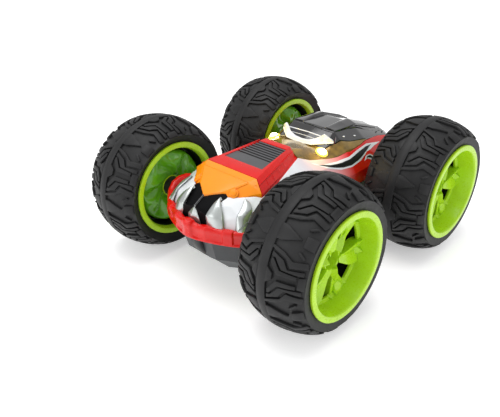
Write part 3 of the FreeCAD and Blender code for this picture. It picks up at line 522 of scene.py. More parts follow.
def make_materials(colours):
    rgb = {name: tuple(getattr(colours, name)) for name in CarColours.__annotations__}
    materials.update(
        tyre_rubber=rubber_material(rgb["rubber"]),
        lime_plastic=plastic("lime plastic", rgb["lime"], 0.28, coat=0.15, spread=0.05),
        # Near-black for the ring inside each rim: painted shade.
        wheel_gap=plastic("wheel gap black", (0.006, 0.006, 0.006), 0.6, grain=0.03),
        # Near-black, darker than the black plastic, for the sheet behind the mouth's ribs: painted shade in the
        # mouth.
        mouth_black=plastic("mouth black", (0.003, 0.003, 0.0035), 0.5, gloss=0.06),
        # Grey, lighter than the black plastic of the mouth's ribs: painted highlight.
        rib_grey=plastic("rib grey", (0.11, 0.11, 0.115), 0.25),
        # The wheels' lime darkened for the inner bowls: painted shade on the side that faces away from the light.
        lime_bowl=plastic("deep lime", (0.10, 0.36, 0.010), 0.14, coat=0.5, spread=0.05),
        black_plastic=plastic("black plastic", (0.016, 0.016, 0.017), 0.38, grain=0.03),
        chassis_plastic=plastic("chassis plastic", rgb["chassis"], 0.42, grain=0.04),
        grey_plastic=plastic("grey plastic", rgb["insert"], 0.45, grain=0.03),
        red_plastic=plastic("red plastic", rgb["red"], 0.26, coat=0.12),
        orange_plastic=plastic("orange plastic", rgb["orange"], 0.3, coat=0.1),
        white_plastic=plastic("white plastic", rgb["white"], 0.24, coat=0.5, spread=0.02),
        side_paint=side_paint(rgb["white"], rgb["red"]),
        silver_plastic=plastic("silver paint", (0.50, 0.53, 0.52), 0.3, coat=0.3, metallic=0.85),
        black_gloss=plastic("black gloss", (0.012, 0.012, 0.014), 0.1, coat=1.0),
        amber_window=tinted_window(rgb["amber"]),
        lamp=lit_material("lit lamp", rgb["glow"], 9.0),
        # A warm glow for the bezels round the lamps: painted light from the lamps.
        lamp_ring=lit_material("lamp ring", (1.0, 0.74, 0.10), 1.5),
        # Black for the printed streaks on the sides, and also painted shade on the plate under the hood's slats.
        film_black=plastic("film black", (0.006, 0.006, 0.007), 0.4),
        gear_plastic=plastic("nylon", (0.80, 0.78, 0.70), 0.42, grain=0.02),
        board_green=plastic("solder mask", (0.02, 0.16, 0.06), 0.3, coat=0.3),
        cell_wrap=plastic("cell sleeve", (0.03, 0.11, 0.34), 0.25, coat=0.5),
        steel=metal("steel", (0.55, 0.56, 0.58), 0.28),
        screw_steel=metal("zinc", (0.62, 0.63, 0.65), 0.24),
        motor_can=metal("motor can", (0.52, 0.52, 0.54), 0.34),
        brass=metal("brass", (0.78, 0.58, 0.25), 0.3),
    )


def dress_frame():
    """Every carried-over node takes the finish that its slot names."""
    for entry in frame["record"]["subparts"]:
        obj = frame["nodes"][entry["node"]]
        obj.data.materials.clear()
        obj.data.materials.append(materials[entry["material_slot"]])
        if obj.name.split("_")[0] in ("axle", "motor", "battery", "wheel", "hex"):
            shade(obj, 30.0)


# Tyres --------------------------------------------------------------------------------

TYRE_HALF_WIDTH = 25.8
SHOULDER_RADIUS = 42.6
TREAD_RADIUS = 52.0
CROWN_POWER = 1.65
BEAD_RADIUS = 36.6
OUTER_BEAD, INNER_BEAD = 24.7, -21.8


def crown_point(share):
    """Section of the tread from the crown (0) to the shoulder (1): (x, radius)."""
    x = TYRE_HALF_WIDTH * math.sin(0.5 * math.pi * share)
    rise = (1 - (x / TYRE_HALF_WIDTH) ** CROWN_POWER) ** (1 / CROWN_POWER) if share < 1 else 0.0
    return x, SHOULDER_RADIUS + (TREAD_RADIUS - SHOULDER_RADIUS) * rise


def crown_table(steps=240):
    """Distance along the section from the crown, with the points there."""
    points = [crown_point(index / steps) for index in range(steps + 1)]
    run, table = 0.0, [(0.0, points[0])]
    for before, after in zip(points, points[1:]):
        run += math.dist(before, after)
        table.append((run, after))
    return table


CROWN = crown_table()
SHOULDER_RUN = CROWN[-1][0]


def section_at(run):
    """Point and outward normal of the tread's section at a distance from the crown."""
    side = -1.0 if run < 0 else 1.0
    run = abs(run)
    index = min(range(len(CROWN)), key=lambda i: abs(CROWN[i][0] - run))
    index = max(1, min(len(CROWN) - 2, index))
    (_, before), (here, point), (_, after) = CROWN[index - 1:index + 2]
    tangent = Vector((after[0] - before[0], after[1] - before[1])).normalized()
    point = Vector(point) + tangent * (run - here)
    normal = Vector((-tangent.y, tangent.x))
    if normal.y < 0:
        normal = -normal
    return Vector((side * point.x, point.y)), Vector((side * abs(normal.x), normal.y))


# Lugs of one half repeat: (distance from the crown, distance round the tyre) from the middle of the
# crown's eight-sided block; "spear" lugs are measured from the middle of the four-pointed star.
HALF_REPEAT = 27.2
BLOCK_LUGS = {
    "block": [(3.2, 5.2), (7.3, 2.0), (7.3, -2.0), (3.2, -5.2)],
    "shoulder": [(23.2, -4.2), (23.2, 4.2), (28.0, 5.0), (28.0, -5.0)],
}
SPEAR_LUGS = {
    "spear": [(3.2, 5.0), (7.0, 4.8), (18.0, 0.0), (7.0, -4.8), (3.2, -5.0)],
    "ear": [(20.0, -3.6), (20.0, 3.6), (27.5, 4.6), (27.5, -4.6)],
}
PAIRED_LUGS = {
    "bent_bar": [(5.2, 11.2), (6.4, 11.0), (11.3, 5.0), (22.2, 4.4), (22.2, 2.0), (10.2, 2.0), (9.2, 3.2),
                 (5.0, 9.0)],
    "plateau": [(4.6, 15.0), (12.4, 12.0), (15.8, 7.0), (26.0, 8.6), (26.0, 5.6), (22.8, 5.4), (12.2, 5.9),
                (7.2, 11.9), (4.6, 12.4)],
    "chevron": [(3.3, 18.8), (11.0, 16.9), (14.8, 14.8), (17.7, 12.9), (26.5, 15.0), (28.0, 10.8), (17.0, 8.6),
                (13.4, 13.4), (3.3, 16.9)],
    "short_bar": [(18.5, 19.5), (20.0, 20.3), (24.2, 17.0), (23.0, 16.0)],
}


def lug(name, outline, depth, bevel):
    """One lug, laid flat: x across the tread, y round it, z out of it."""
    bed = 0.35
    piece = outline_face(name, [(a, v, -depth - bed) for a, v in outline])
    with editing(piece):
        for axis, places in ((0, [p[0] for p in outline]), (1, [p[1] for p in outline])):
            count = max(1, round((max(places) - min(places)) / 3.2))
            for index in range(1, count):
                cut = min(places) + (max(places) - min(places)) * index / count
                point = [0.0, 0.0, 0.0]
                normal = [0.0, 0.0, 0.0]
                point[axis], normal[axis] = cut * MM, 1.0
                bpy.ops.mesh.select_all(action="SELECT")
                bpy.ops.mesh.bisect(plane_co=point, plane_no=normal, threshold=1e-7)
        bpy.ops.mesh.select_all(action="SELECT")
        bpy.ops.mesh.extrude_region_move(TRANSFORM_OT_translate={"value": (0, 0, (depth + bed) * MM)})
        bpy.ops.mesh.select_all(action="SELECT")
        bpy.ops.mesh.normals_make_consistent(inside=False)
    return modify(piece, "BEVEL", width=bevel, segments=2, limit_method="ANGLE",
                  angle_limit=math.radians(40), use_clamp_overlap=True)


def tread_cell(depth, bevel):
    """All lugs of one repeat, flat, from one block's middle to the next."""
    flip_v = Matrix.Scale(-1, 4, (0, 1, 0))
    pieces = []
    for name, outline in BLOCK_LUGS.items():
        pieces.append(lug(name, outline, depth, bevel))
    for name, outline in SPEAR_LUGS.items():
        pieces.append(lug(name, [(a, v + HALF_REPEAT) for a, v in outline], depth, bevel))
    for name, outline in PAIRED_LUGS.items():
        piece = lug(name, outline, depth, bevel)
        pieces += [piece, copied(piece, name + "_back", flip_v)]
    half = joined("tread_half", pieces)
    return both_sides("tread_cell", half)


def wrap_on_tyre(co):
    """From the flat tread to the tyre, round the X axis."""
    point, normal = section_at(co.x)
    place = point + normal * co.z
    angle = co.y / TREAD_RADIUS
    return place.x, place.y * math.sin(angle), place.y * math.cos(angle)


def carcass_profile(depth):
    """Closed outline of the tyre's body: the tread's floor with its middle rib, and the sidewalls."""
    rib, ease = 3.4, 0.5
    right = []
    for run, drop in ((0.0, 0.05), (rib - ease, 0.05), (rib, 0.3), (rib + 0.15, depth)):
        point, normal = section_at(run)
        right.append(tuple(point - normal * drop))
    for index in range(1, 17):
        run = rib + 0.15 + (SHOULDER_RUN - rib - 0.15) * index / 16
        share = max(0.0, (run - 25.0) / (SHOULDER_RUN - 25.0))
        point, normal = section_at(run)
        right.append(tuple(point - normal * depth * max(0.0, 1 - share) ** 0.5))
    left = [(-x, r) for x, r in reversed(right[1:])]
    wall = [(25.65, 41.2), (25.3, 39.6), (25.35, 39.2), (25.1, 38.2)]
    outer = wall + [(OUTER_BEAD, BEAD_RADIUS), (OUTER_BEAD, 34.8)]
    inner = [(INNER_BEAD, 34.8), (INNER_BEAD, BEAD_RADIUS)] + [
        (INNER_BEAD + (-x - INNER_BEAD) * (r - BEAD_RADIUS) / (42.6 - BEAD_RADIUS), r)
        for x, r in reversed(wall)]
    return right + outer + inner + left


def make_tyre(sizes):
    """One whole tyre round the X axis: the carcass and the wrapped tread."""
    depth, bevel = sizes.groove_depth / MM, sizes.lug_bevel
    cell = remapped(tread_cell(depth, bevel), wrap_on_tyre)
    turns = [copied(cell, f"tread_{index}", Matrix.Rotation(2 * math.pi * index / sizes.periods, 4, "X"))
             for index in range(1, sizes.periods)]
    carcass = spun("carcass", carcass_profile(depth), sizes.steps)
    return shade(joined("tyre", [carcass, cell] + turns), 38.0)


# Wheels -------------------------------------------------------------------------------

WHEEL_CENTRE = Vector((78.0, 68.0, 52.0))
RIM_OUTER, RIM_INNER = 26.7, -23.8


def wheel_place(corner, phase):
    """From a wheel on the X axis to its corner of the car, turned by a phase."""
    side = 1 if corner.endswith("left") else -1
    end = -1 if corner.startswith("front") else 1
    centre = Vector((WHEEL_CENTRE.x * side, WHEEL_CENTRE.y * end, WHEEL_CENTRE.z)) * MM
    about = Matrix.Identity(4) if side > 0 else Matrix.Rotation(math.pi, 4, "Z")
    return Matrix.Translation(centre) @ about @ Matrix.Rotation(math.radians(phase), 4, "X")


def rim_barrel(steps, bevel):
    """The barrel with both lips and the ring that the spokes join."""
    profile = [
        (RIM_INNER, 32.6), (RIM_INNER, 36.6), (RIM_INNER + 2.0, 36.6), (RIM_INNER + 2.0, 34.8),
        (RIM_OUTER - 2.0, 34.8), (RIM_OUTER - 2.0, 36.6), (RIM_OUTER, 36.6), (RIM_OUTER, 32.6),
        (RIM_OUTER - 1.6, 32.0), (12.9, 30.8), (12.6, 28.4), (10.4, 28.4), (10.0, 30.8),
        (RIM_INNER + 2.4, 31.4)]
    return soften(spun("rim_barrel", profile, steps), bevel, segments=3, angle=25.0)


def chip(name, outline, low, high, *tops):
    """A facetted block of the web: its plan in the wheel's plane, cut by sloping planes."""
    obj = prism(name, outline, low, high, along="X")
    for first, second, third in tops:
        normal = (Vector(second) - Vector(first)).cross(Vector(third) - Vector(first))
        slice_off(obj, (first, normal if normal.x > 0 else -normal))
    return soften(obj, 0.25 * MM, segments=1, angle=12.0, smooth=10.0)


def claw(name, radius, width, face, reach):
    """A pointed claw that leans outwards over the ring."""
    base, tip = face - 1.5, face + reach
    foot, toe = radius - 4.6, radius + 1.6
    points = [(foot, -width), (foot, width), (toe, width * 0.8), (toe, -width * 0.8)]
    obj = prism(name, points, base, tip + 0.1, along="X")
    peak = (tip, radius + 0.4, 0.0)
    slopes = ((0.62, -0.9, 0.0), (0.55, 0.12, 0.9), (0.55, 0.12, -0.9), (0.28, 1.0, 0.0))
    slice_off(obj, *((peak, slope) for slope in slopes))
    return soften(obj, 0.2 * MM, segments=1, angle=12.0, smooth=10.0)


def turned(obj, degrees):
    """Turns a finished shape round the wheel's axis."""
    obj.data.transform(Matrix.Rotation(math.radians(degrees), 4, "X"))
    return obj


def broad_spoke(face, reach):
    """Two tilted plates with a valley between them, and one claw."""
    back = face - 5.0
    near = chip("plate_near", [(6.5, -2.8), (17.0, -6.6), (30.4, -7.6), (30.6, -0.4), (14.0, 0.8), (6.5, 0.8)],
                back, face + 3.2,
                ((face + 2.8, 20.0, -5.6), (face + 0.2, 20.0, 0.4), (face + 1.0, 30.0, -5.0)),
                ((face + 2.4, 9.0, -3.0), (face + 2.8, 18.0, -4.0), (face + 1.2, 9.0, 0.0)))
    far = chip("plate_far", [(6.5, -0.6), (14.0, -0.6), (30.6, -0.4), (30.4, 7.6), (24.0, 7.4), (12.0, 3.4),
                             (6.5, 2.8)],
               back, face + 2.6,
               ((face + 2.2, 20.0, 5.2), (face - 0.2, 20.0, 0.0), (face + 1.2, 29.5, 5.6)))
    return joined("broad_spoke", [near, far, claw("broad_claw", 29.6, 3.1, face, reach)])


def forked_spoke(face, reach):
    """A tall narrow ridge from the hub, then a shovel between two claws."""
    back = face - 5.0
    ridge = chip("ridge", [(6.5, -3.2), (12.0, -3.4), (21.0, -0.6), (21.0, 0.6), (12.0, 3.4), (6.5, 3.2)],
                 back, face + 4.2,
                 ((face + 3.8, 8.0, 0.0), (face + 3.4, 12.0, 0.0), (face - 0.6, 12.0, 3.6)),
                 ((face + 3.8, 8.0, 0.0), (face + 3.4, 12.0, 0.0), (face - 0.6, 12.0, -3.6)),
                 ((face + 3.6, 11.0, 0.0), (face + 0.2, 21.0, 1.0), (face + 0.2, 21.0, -1.0)))
    arm = chip("fork_arm", [(14.0, -2.6), (22.0, -5.4), (30.4, -8.8), (31.0, 0.0), (30.4, 8.8), (22.0, 5.4),
                            (14.0, 2.6)],
               back, face + 0.4, ((face + 0.2, 18.0, 0.0), (face - 0.6, 30.0, 4.0), (face - 0.6, 30.0, -4.0)))
    shovel = chip("shovel", [(21.5, -1.8), (26.0, -4.2), (30.8, -3.2), (30.8, 3.2), (26.0, 4.2), (21.5, 1.8)],
                  back, face + 2.6,
                  ((face + 0.4, 21.5, 0.0), (face + 2.4, 27.0, 1.0), (face + 2.4, 27.0, -1.0)),
                  ((face + 2.6, 26.0, 0.0), (face + 1.6, 31.0, 1.0), (face + 1.6, 31.0, -1.0)),
                  ((face + 2.6, 25.0, 1.8), (face + 2.4, 29.0, 1.8), (face + 0.6, 27.0, 4.4)),
                  ((face + 2.6, 25.0, -1.8), (face + 2.4, 29.0, -1.8), (face + 0.6, 27.0, -4.4)))
    claws = [turned(claw(f"fork_claw_{side}", 29.8, 2.2, face, reach * 0.6), 14.5 * side) for side in (-1, 1)]
    return joined("forked_spoke", [ridge, arm, shovel] + claws)


def hub_profile(face):
    """Hub with the open cup for the screw's head."""
    return [(-16.0, 6.1), (-16.0, 8.4), (face - 5.0, 8.6), (face - 1.4, 8.4), (face + 1.0, 7.9),
            (face + 1.2, 7.2), (face + 0.6, 6.4), (face - 7.9, 6.3), (face - 7.9, 3.9), (-10.0, 3.9),
            (-10.0, 6.1)]


def bowl_petals(steps, rings=22):
    """The wavy backs of the spokes, seen from the car's middle as a flower-like dome."""
    inner, outer = 8.4, 30.4

    def place(u, v):
        angle = 2 * math.pi * u
        radius = inner + (outer - inner) * v
        twist = angle + 0.35 * math.sin(math.pi * v) + 0.1 * math.sin(3 * angle)
        swell = math.sin(math.pi * min(1.0, v * 1.05)) ** 0.8 if v < 0.95 else 0.0
        height = -12.0 - 6.0 * math.sin(math.pi * (0.22 + 0.62 * v))
        height -= 2.0 * swell * math.cos(6 * twist)
        height -= 0.7 * swell * math.cos(12 * twist + 7.0 * v)
        height += 9.0 * max(0.0, v - 0.86) / 0.14
        return height, radius * math.cos(angle), radius * math.sin(angle)

    obj = grid("bowl_petals", steps, rings, place)
    with editing(obj, "VERT"):
        bpy.ops.mesh.remove_doubles(threshold=1e-6)
        bpy.ops.mesh.normals_make_consistent(inside=False)
    if sum(p.normal.x for p in obj.data.polygons) > 0:
        obj.data.flip_normals()
    modify(obj, "SOLIDIFY", thickness=1.4 * MM, offset=-1.0)
    return shade(obj, 60.0)


def make_wheel(sizes):
    """One wheel round the X axis, and the wavy bowl of its inner side."""
    face, reach = sizes.web_face / MM, sizes.claw_reach / MM
    pieces = [rim_barrel(sizes.steps, sizes.lip_bevel)]
    broad, forked = broad_spoke(face, reach), forked_spoke(face, reach)
    for index in range(6):
        spoke = forked if index % 2 else broad
        pieces.append(copied(spoke, "spoke", Matrix.Rotation(math.radians(60 * index), 4, "X")))
    for used in (broad, forked):
        bpy.data.objects.remove(used)
    pieces.append(soften(spun("hub", hub_profile(face), 72), 0.35 * MM, angle=25.0))
    return joined("wheel", pieces), bowl_petals(180)


def make_shade_ring(steps):
    """A black ring deep inside the rim, behind the spokes: painted shade in the gap between the spokes and the
    tyre.
    """
    start, stop = RIM_INNER + 4.0, 9.4
    return shade(spun("liner", [(start, 31.3), (stop, 30.8), (stop, 31.8), (start, 32.2)], steps))


# Body ---------------------------------------------------------------------------------
# Half sections of the body from the roof's edge down to the waist, at stations along Y.

STATIONS = [
    (-99.0, [(6, 69), (11, 66), (15, 62), (17, 57), (17, 52)]),
    (-88.0, [(8, 75.5), (20, 73), (31, 67), (38, 59), (38, 52)]),
    (-66.0, [(23.5, 83.6), (31.5, 77), (38, 72), (45, 62), (45, 52)]),
    (-40.0, [(18, 86), (25.5, 81), (36, 73), (44, 62), (44.5, 52)]),
    (-16.0, [(12, 88), (20, 84.5), (35, 75), (43, 63), (44, 52)]),
    (12.0, [(16, 82), (25, 80), (37, 74), (43, 63), (44, 52)]),
    (28.0, [(20, 90.5), (30, 82), (38, 72), (43, 62), (44, 52)]),
    (56.0, [(18, 89), (30, 79), (38, 70), (43, 62), (44, 52)]),
    (98.0, [(16, 74), (26, 70), (33, 65), (39, 58), (40, 52)]),
    (106.0, [(14, 69), (22, 66), (28, 62), (32, 56), (33, 52)]),
]
FRONT, REAR = STATIONS[0][0], STATIONS[-1][0]


def section_points(y):
    """The half section at any place along the car, centre first."""
    y = min(max(y, FRONT), REAR)
    index = max(i for i, station in enumerate(STATIONS[:-1]) if station[0] <= y)
    (y0, low), (y1, high) = STATIONS[index], STATIONS[index + 1]
    t = (y - y0) / (y1 - y0)
    points = [((1 - t) * a[0] + t * b[0], (1 - t) * a[1] + t * b[1]) for a, b in zip(low, high)]
    return [(0.0, points[0][1] + 0.5)] + points


def skin_point(share, y):
    """A point of the skin: share is -1 at the right waist, 0 on top and 1 at the left waist."""
    points = section_points(y)
    place = abs(share) * (len(points) - 1)
    index = min(int(place), len(points) - 2)
    t = place - index
    (x0, z0), (x1, z1) = points[index], points[index + 1]
    side = -1.0 if share < 0 else 1.0
    return side * ((1 - t) * x0 + t * x1), y, (1 - t) * z0 + t * z1


def skin_height(x, y):
    """Height of the skin over a point of the plan."""
    points = section_points(y)
    x = min(abs(x), max(p[0] for p in points))
    for (x0, z0), (x1, z1) in zip(points, points[1:]):
        if x0 <= x <= x1 and x1 > x0:
            return z0 + (z1 - z0) * (x - x0) / (x1 - x0)
    return points[-1][1]


def front_place(x, z):
    """How far back the skin is at a point of the front view."""
    low, high = FRONT, -58.0
    for _ in range(30):
        middle = 0.5 * (low + high)
        if skin_height(x, middle) < z or abs(x) > max(p[0] for p in section_points(middle)):
            low = middle
        else:
            high = middle
    return high


def skin_layer(name, start, stop, low, high, columns=60):
    """A layer of the body between two offsets from the skin."""
    rows = max(4, round((stop - start) / 2.0))
    obj = grid(name, columns, rows, lambda u, v: skin_point(2 * u - 1, start + (stop - start) * v))
    facing(obj, (0, 0, 1))
    if high:
        modify(obj, "DISPLACE", strength=high * MM, mid_level=0.0)
    return thickened(obj, high - low, (0, 0, 1))


def mirrored_outline(right):
    """A symmetrical outline from its right half, listed from front to back."""
    return list(right) + [(-x, y) for x, y in reversed(right) if x > 0]


def plan_panel(name, outline, low, high, bevel, z0=50.0, z1=110.0):
    """The part of a skin layer over a plan outline."""
    ys = [y for _, y in outline]
    layer = skin_layer(name, max(FRONT, min(ys) - 3.0), min(REAR, max(ys) + 3.0), low, high)
    combine(layer, prism(name + "_plan", outline, z0, z1), "INTERSECT")
    return soften(layer, bevel, angle=20.0)


def side_panel(name, outline, low, high, bevel=0.0):
    """The part of a skin layer inside a side-view outline, on the left."""
    ys = [y for y, _ in outline]
    layer = skin_layer(name, min(ys) - 3.0, min(REAR, max(ys) + 3.0), low, high)
    combine(layer, prism(name + "_plan", outline, 22.0, 60.0, along="X"), "INTERSECT")
    return soften(layer, bevel, angle=20.0) if bevel else shade(layer, 30.0)


# Nose and hood: the corners of their facets, on the car's left.
HOOD_FRONT, HOOD_REAR = (23.8, -63.2, 84.1), (12.0, -15.5, 88.7)
BAR_FRONT, BAR_REAR = (27.6, -65.3, 80.9), (16.2, -16.5, 87.2)
HOOD_LOW_FRONT, HOOD_LOW_REAR = (32.0, -67.2, 76.6), (20.2, -17.5, 84.6)
NOSE_CREASE, NOSE_NOTCH = (21.0, -68.9, 82.6), (13.0, -81.3, 76.9)
NOSE_TIP = (0.0, -90.2, 74.4)
NOSE_PLAN = [(0, -90.4), (12.9, -81.6), (15.2, -82.6), (18.6, -80.8), (21.8, -77.9), (25.8, -73.6),
             (28.8, -70.0), (31.8, -67.3), (23.9, -63.5)]
HOOD_PLAN = [(23.9, -63.2), (32.2, -67.0), (20.5, -16.6), (12.0, -14.8)]
INSERT_PLAN = [(18.2, -52.1), (13.1, -20.0)]
MOUTH_PLAN = [(0, -101), (10.5, -101), (15.4, -84), (15.2, -82.4), (12.9, -81.8), (0, -90.0)]
JAW_PLAN = [(10.8, -101), (48, -101), (48, -62), (32.6, -62), (32.3, -67.4), (28.9, -70.3), (25.9, -74),
            (21.9, -78.3), (18.7, -81.2), (15.6, -83.2), (15.8, -84)]
WINDOW_PLAN = [(0, -14.6), (12.0, -14.6), (20.8, -16.3), (25.2, -7.8), (29.3, 7.8), (31.6, 17.7),
               (33.0, 32.1), (31.4, 48.3), (29.4, 60.5), (29.5, 56.3), (28.2, 38.2), (25.3, 24.0), (24.4, 22.4),
               (12.0, 13.6), (0, 14.2)]
SCREEN_PLAN = [(0, 12.6), (21.5, 12.6), (24.2, 22.8), (22.0, 27.0), (0, 27.0)]
ROOF_PLAN = [(0, 27.4), (22.1, 27.4), (24.4, 23.2), (28.0, 38.2), (29.2, 56.3), (28.4, 68), (26.6, 79),
             (25.4, 104), (0, 104)]
SIDE_PLAN = [(50, -61.6), (33.0, -61.6), (20.9, -16.6), (25.5, -8.2), (29.7, 7.6), (32.0, 17.6), (33.4, 32.1),
             (31.8, 48.6), (29.8, 60.8), (28.7, 68), (26.9, 79.2), (25.7, 105.4), (50, 105.4)]
ROOF_CREASE = [(9.4, 25.3), (16.5, 31.2), (20.6, 48.6), (21.7, 74.2)]
RAIL_LINE = [(12.6, 29.5), (13.0, 42), (12.8, 58), (12.2, 76), (11.4, 89)]
SWOOSH_TOP = [(-10, 78.9), (-1.2, 75.8), (13.4, 74.4), (27.5, 73.9), (41.5, 75.0), (55.3, 75.4), (77, 70.4)]
SWOOSH_LOW = [(64.5, 71.2), (50.4, 71.2), (39, 68), (26.5, 67.1), (13.3, 69), (1.5, 73.1), (-7.9, 77.4)]
STREAK_TOP = [(-5.5, 76.9), (5, 74.4), (17.1, 73.0), (27.1, 72.5), (41.7, 73.6), (53.3, 74.2), (62, 73.2)]
STREAK_LOW = [(56, 72.9), (47.7, 71.3), (36.5, 69.2), (26.5, 68.4), (16.6, 69.7), (8, 72), (0, 74.8)]
TICK_WHITE = [(43.5, 66.6), (47.5, 69.2), (53.0, 69.0), (57.0, 66.4), (53.0, 62.8), (52.4, 65.0), (48.0, 67.2)]
TICK_BLACK = [(47.0, 67.6), (49.0, 68.6), (52.8, 68.3), (55.4, 66.0), (53.4, 64.6), (52.6, 66.2), (49.4, 67.6)]
# Teeth in the front view: the inner and the outer edge from root to tip, and the crown's height.
TEETH = {
    "front_fang": ([(12.0, 57.0), (11.2, 64), (11.2, 68.5), (11.6, 72.5), (12.9, 75.2)],
                   [(24.2, 57.0), (23.3, 62.5), (20.8, 67.5), (17.4, 71.6), (13.1, 75.2)], 2.4),
    "back_fang": ([(30.8, 57.0), (30.2, 63), (29.0, 68.5), (27.4, 72), (25.8, 75.0)],
                  [(38.2, 57.0), (36.6, 62.5), (34.2, 68.6), (30.6, 72.4), (26.0, 75.0)], 2.0),
}
# The lip from its middle to its left end: x, y, lower edge, upper edge, swelling.
LIP_LINE = [
    (0, -106.3, 48.8, 62.4, 2.4), (3.4, -105.9, 48.8, 61.8, 2.0), (4.8, -105.6, 48.8, 60.2, 0.0),
    (8, -104.9, 48.8, 59.4, 0.0), (14, -103, 48.8, 60.6, 1.1), (21, -100.3, 48.8, 59.4, 0.0),
    (25.3, -98.4, 48.8, 59.0, 0.0), (25.9, -98.1, 48.8, 59.9, 1.1), (31.6, -95.2, 48.8, 59.9, 1.1),
    (32.2, -94.8, 48.8, 59.2, 0.0), (38.5, -90.6, 48.8, 59.6, 0.0), (45, -84.5, 49.5, 61.5, 0.0),
    (48.2, -78.5, 51.5, 64.5, 0.0), (48.7, -72, 54.5, 66.3, 0.0), (47.4, -65, 57.3, 66.6, 0.0),
    (45.2, -61.5, 58.3, 66.0, 0.0)]
LIP_SECTION = [(-4.2, 0.0), (1.0, 0.0), (1.3, 0.05), (1.0, 0.11), (-0.1, 0.15), (-0.4, 0.34), (-0.1, 0.6),
               (0.5, 0.72), (0.3, 0.86), (-0.6, 0.97), (-2.0, 1.0), (-3.4, 0.95), (-4.2, 0.8)]


HOOD_SLOPE = (HOOD_REAR[2] - HOOD_FRONT[2]) / (HOOD_REAR[1] - HOOD_FRONT[1])


def hood_height(y):
    """Height of the hood's flat top."""
    return HOOD_FRONT[2] + HOOD_SLOPE * (y - HOOD_FRONT[1])


def make_nose(bevel):
    """Broad upper facet, a narrow band along the hood, cheeks with a raised line and a round boss."""
    nose = prism("nose", mirrored_outline(NOSE_PLAN), 71.5, 92.0)
    cheek_low = (32.0, -67.3, 77.0)
    cheek = upward_plane(NOSE_CREASE, NOSE_NOTCH, cheek_low)
    corner = upward_plane((23.8, -63.2, 84.1), NOSE_CREASE, cheek_low)
    band = upward_plane((10.0, -63.2, 84.1), (-10.0, -63.2, 84.1), (0.0, -68.9, 82.6))
    brow = upward_plane(NOSE_TIP, (10.0, -68.9, 82.6), (-10.0, -68.9, 82.6))
    slice_off(nose, band, brow, cheek, mirrored_plane(cheek), corner, mirrored_plane(corner))
    soften(nose, bevel, segments=3, angle=7.0, smooth=25.0)
    lines = (((21.4, -69.6, 81.9), (13.8, -80.6, 77.3)), ((0, -68.9, 82.6), (20.9, -68.9, 82.6)),
             ((26.6, -66.2, 80.9), (22.2, -70.0, 80.3)))
    trims = [soften(rod("trim", start, end, 0.34), 0.1 * MM) for start, end in lines]
    boss = rod("boss", (17.0, -78.2, 75.6), (18.1, -79.8, 77.3), 3.2, 32)
    ring = rod("boss_ring", (17.6, -79.0, 76.6), (18.35, -80.1, 77.75), 1.9, 24)
    trims += [soften(boss, 0.5 * MM, segments=3), soften(ring, 0.35 * MM, segments=3)]
    return joined("nose", [nose, both_sides("nose_trim", joined("nose_trim", trims))])


def make_hood(bevel):
    """Flat top with a sunk bed for the insert, and a bevelled bar down each side."""
    hood = prism("hood", mirrored_outline(HOOD_PLAN), 72.0, 94.0)
    upper = upward_plane(HOOD_FRONT, HOOD_REAR, BAR_FRONT)
    lower = upward_plane(BAR_FRONT, BAR_REAR, HOOD_LOW_FRONT)
    floor_point, floor_normal = upward_plane((10, -63.2, 75.2), (-10, -63.2, 75.2), (0, -16.0, 83.2))
    top = upward_plane(HOOD_FRONT, HOOD_REAR, (-23.8, -63.2, 84.1))
    slice_off(hood, top, upper, mirrored_plane(upper), lower, mirrored_plane(lower), (floor_point, -floor_normal))
    # A seam down the middle keeps the bed from leaving a face with a hole in it.
    with editing(hood):
        bpy.ops.mesh.bisect(plane_co=(0, 0, 0), plane_no=(1, 0, 0))
    bed = prism("bed", mirrored_outline(INSERT_PLAN), 70.0, 96.0)
    combine(hood, slice_off(bed, ((0, -63.2, 82.3), (0, HOOD_SLOPE, -1.0))), "DIFFERENCE")
    with editing(hood):
        bpy.ops.mesh.vert_connect_concave()
    soften(hood, bevel, segments=3, angle=8.0, smooth=25.0)
    trims = [rod("line", BAR_FRONT, BAR_REAR, 0.3)]
    for share in (0.2, 0.36, 0.52, 0.68):
        top = Vector(BAR_FRONT).lerp(Vector(BAR_REAR), share)
        low = Vector(HOOD_LOW_FRONT).lerp(Vector(HOOD_LOW_REAR), share)
        trims.append(rod("line", top.lerp(low, 0.2), top.lerp(low, 0.85), 0.18))
    return joined("hood", [hood, both_sides("hood_lines", joined("hood_lines", trims))])


def insert_slab(name, start, stop, margin, depth, thickness):
    """A slab across the hood's bed, its top a depth below the hood's flat top."""
    (front_half, front), (back_half, back) = INSERT_PLAN
    taper = (back_half - front_half) / (back - front)
    corners = [(front_half + taper * (y - front) - margin, y) for y in (start, stop)]
    slab = prism(name, mirrored_outline(corners), 78.0, 96.0)
    return slice_off(slab, ((0, 0, hood_height(0) - depth), (0, -HOOD_SLOPE, 1.0)),
                     ((0, 0, hood_height(0) - depth - thickness), (0, HOOD_SLOPE, -1.0)))


def make_insert(slats, bevel):
    """A flat plate in front and a row of thin louvre slats behind it."""
    front, back, plate_end = INSERT_PLAN[0][1] + 0.4, INSERT_PLAN[1][1] - 0.4, -41.0
    pieces = [insert_slab("plate", front, plate_end, 0.4, 0.3, 1.0)]
    pitch = (back - plate_end) / slats
    for index in range(slats):
        start = plate_end + pitch * (index + 0.5)
        pieces.append(insert_slab("slat", start, start + pitch * 0.5, 0.4, 0.3, 0.35))
    return joined("insert", [soften(piece, bevel * 0.3, angle=15.0, smooth=25.0) for piece in pieces])


def make_bed_shade():
    """A black plate at the floor of the hood's bed: painted shade that shows between the slats."""
    return insert_slab("bed", INSERT_PLAN[0][1] + 0.02, INSERT_PLAN[1][1] - 0.02, 0.02, 1.55, 0.3)


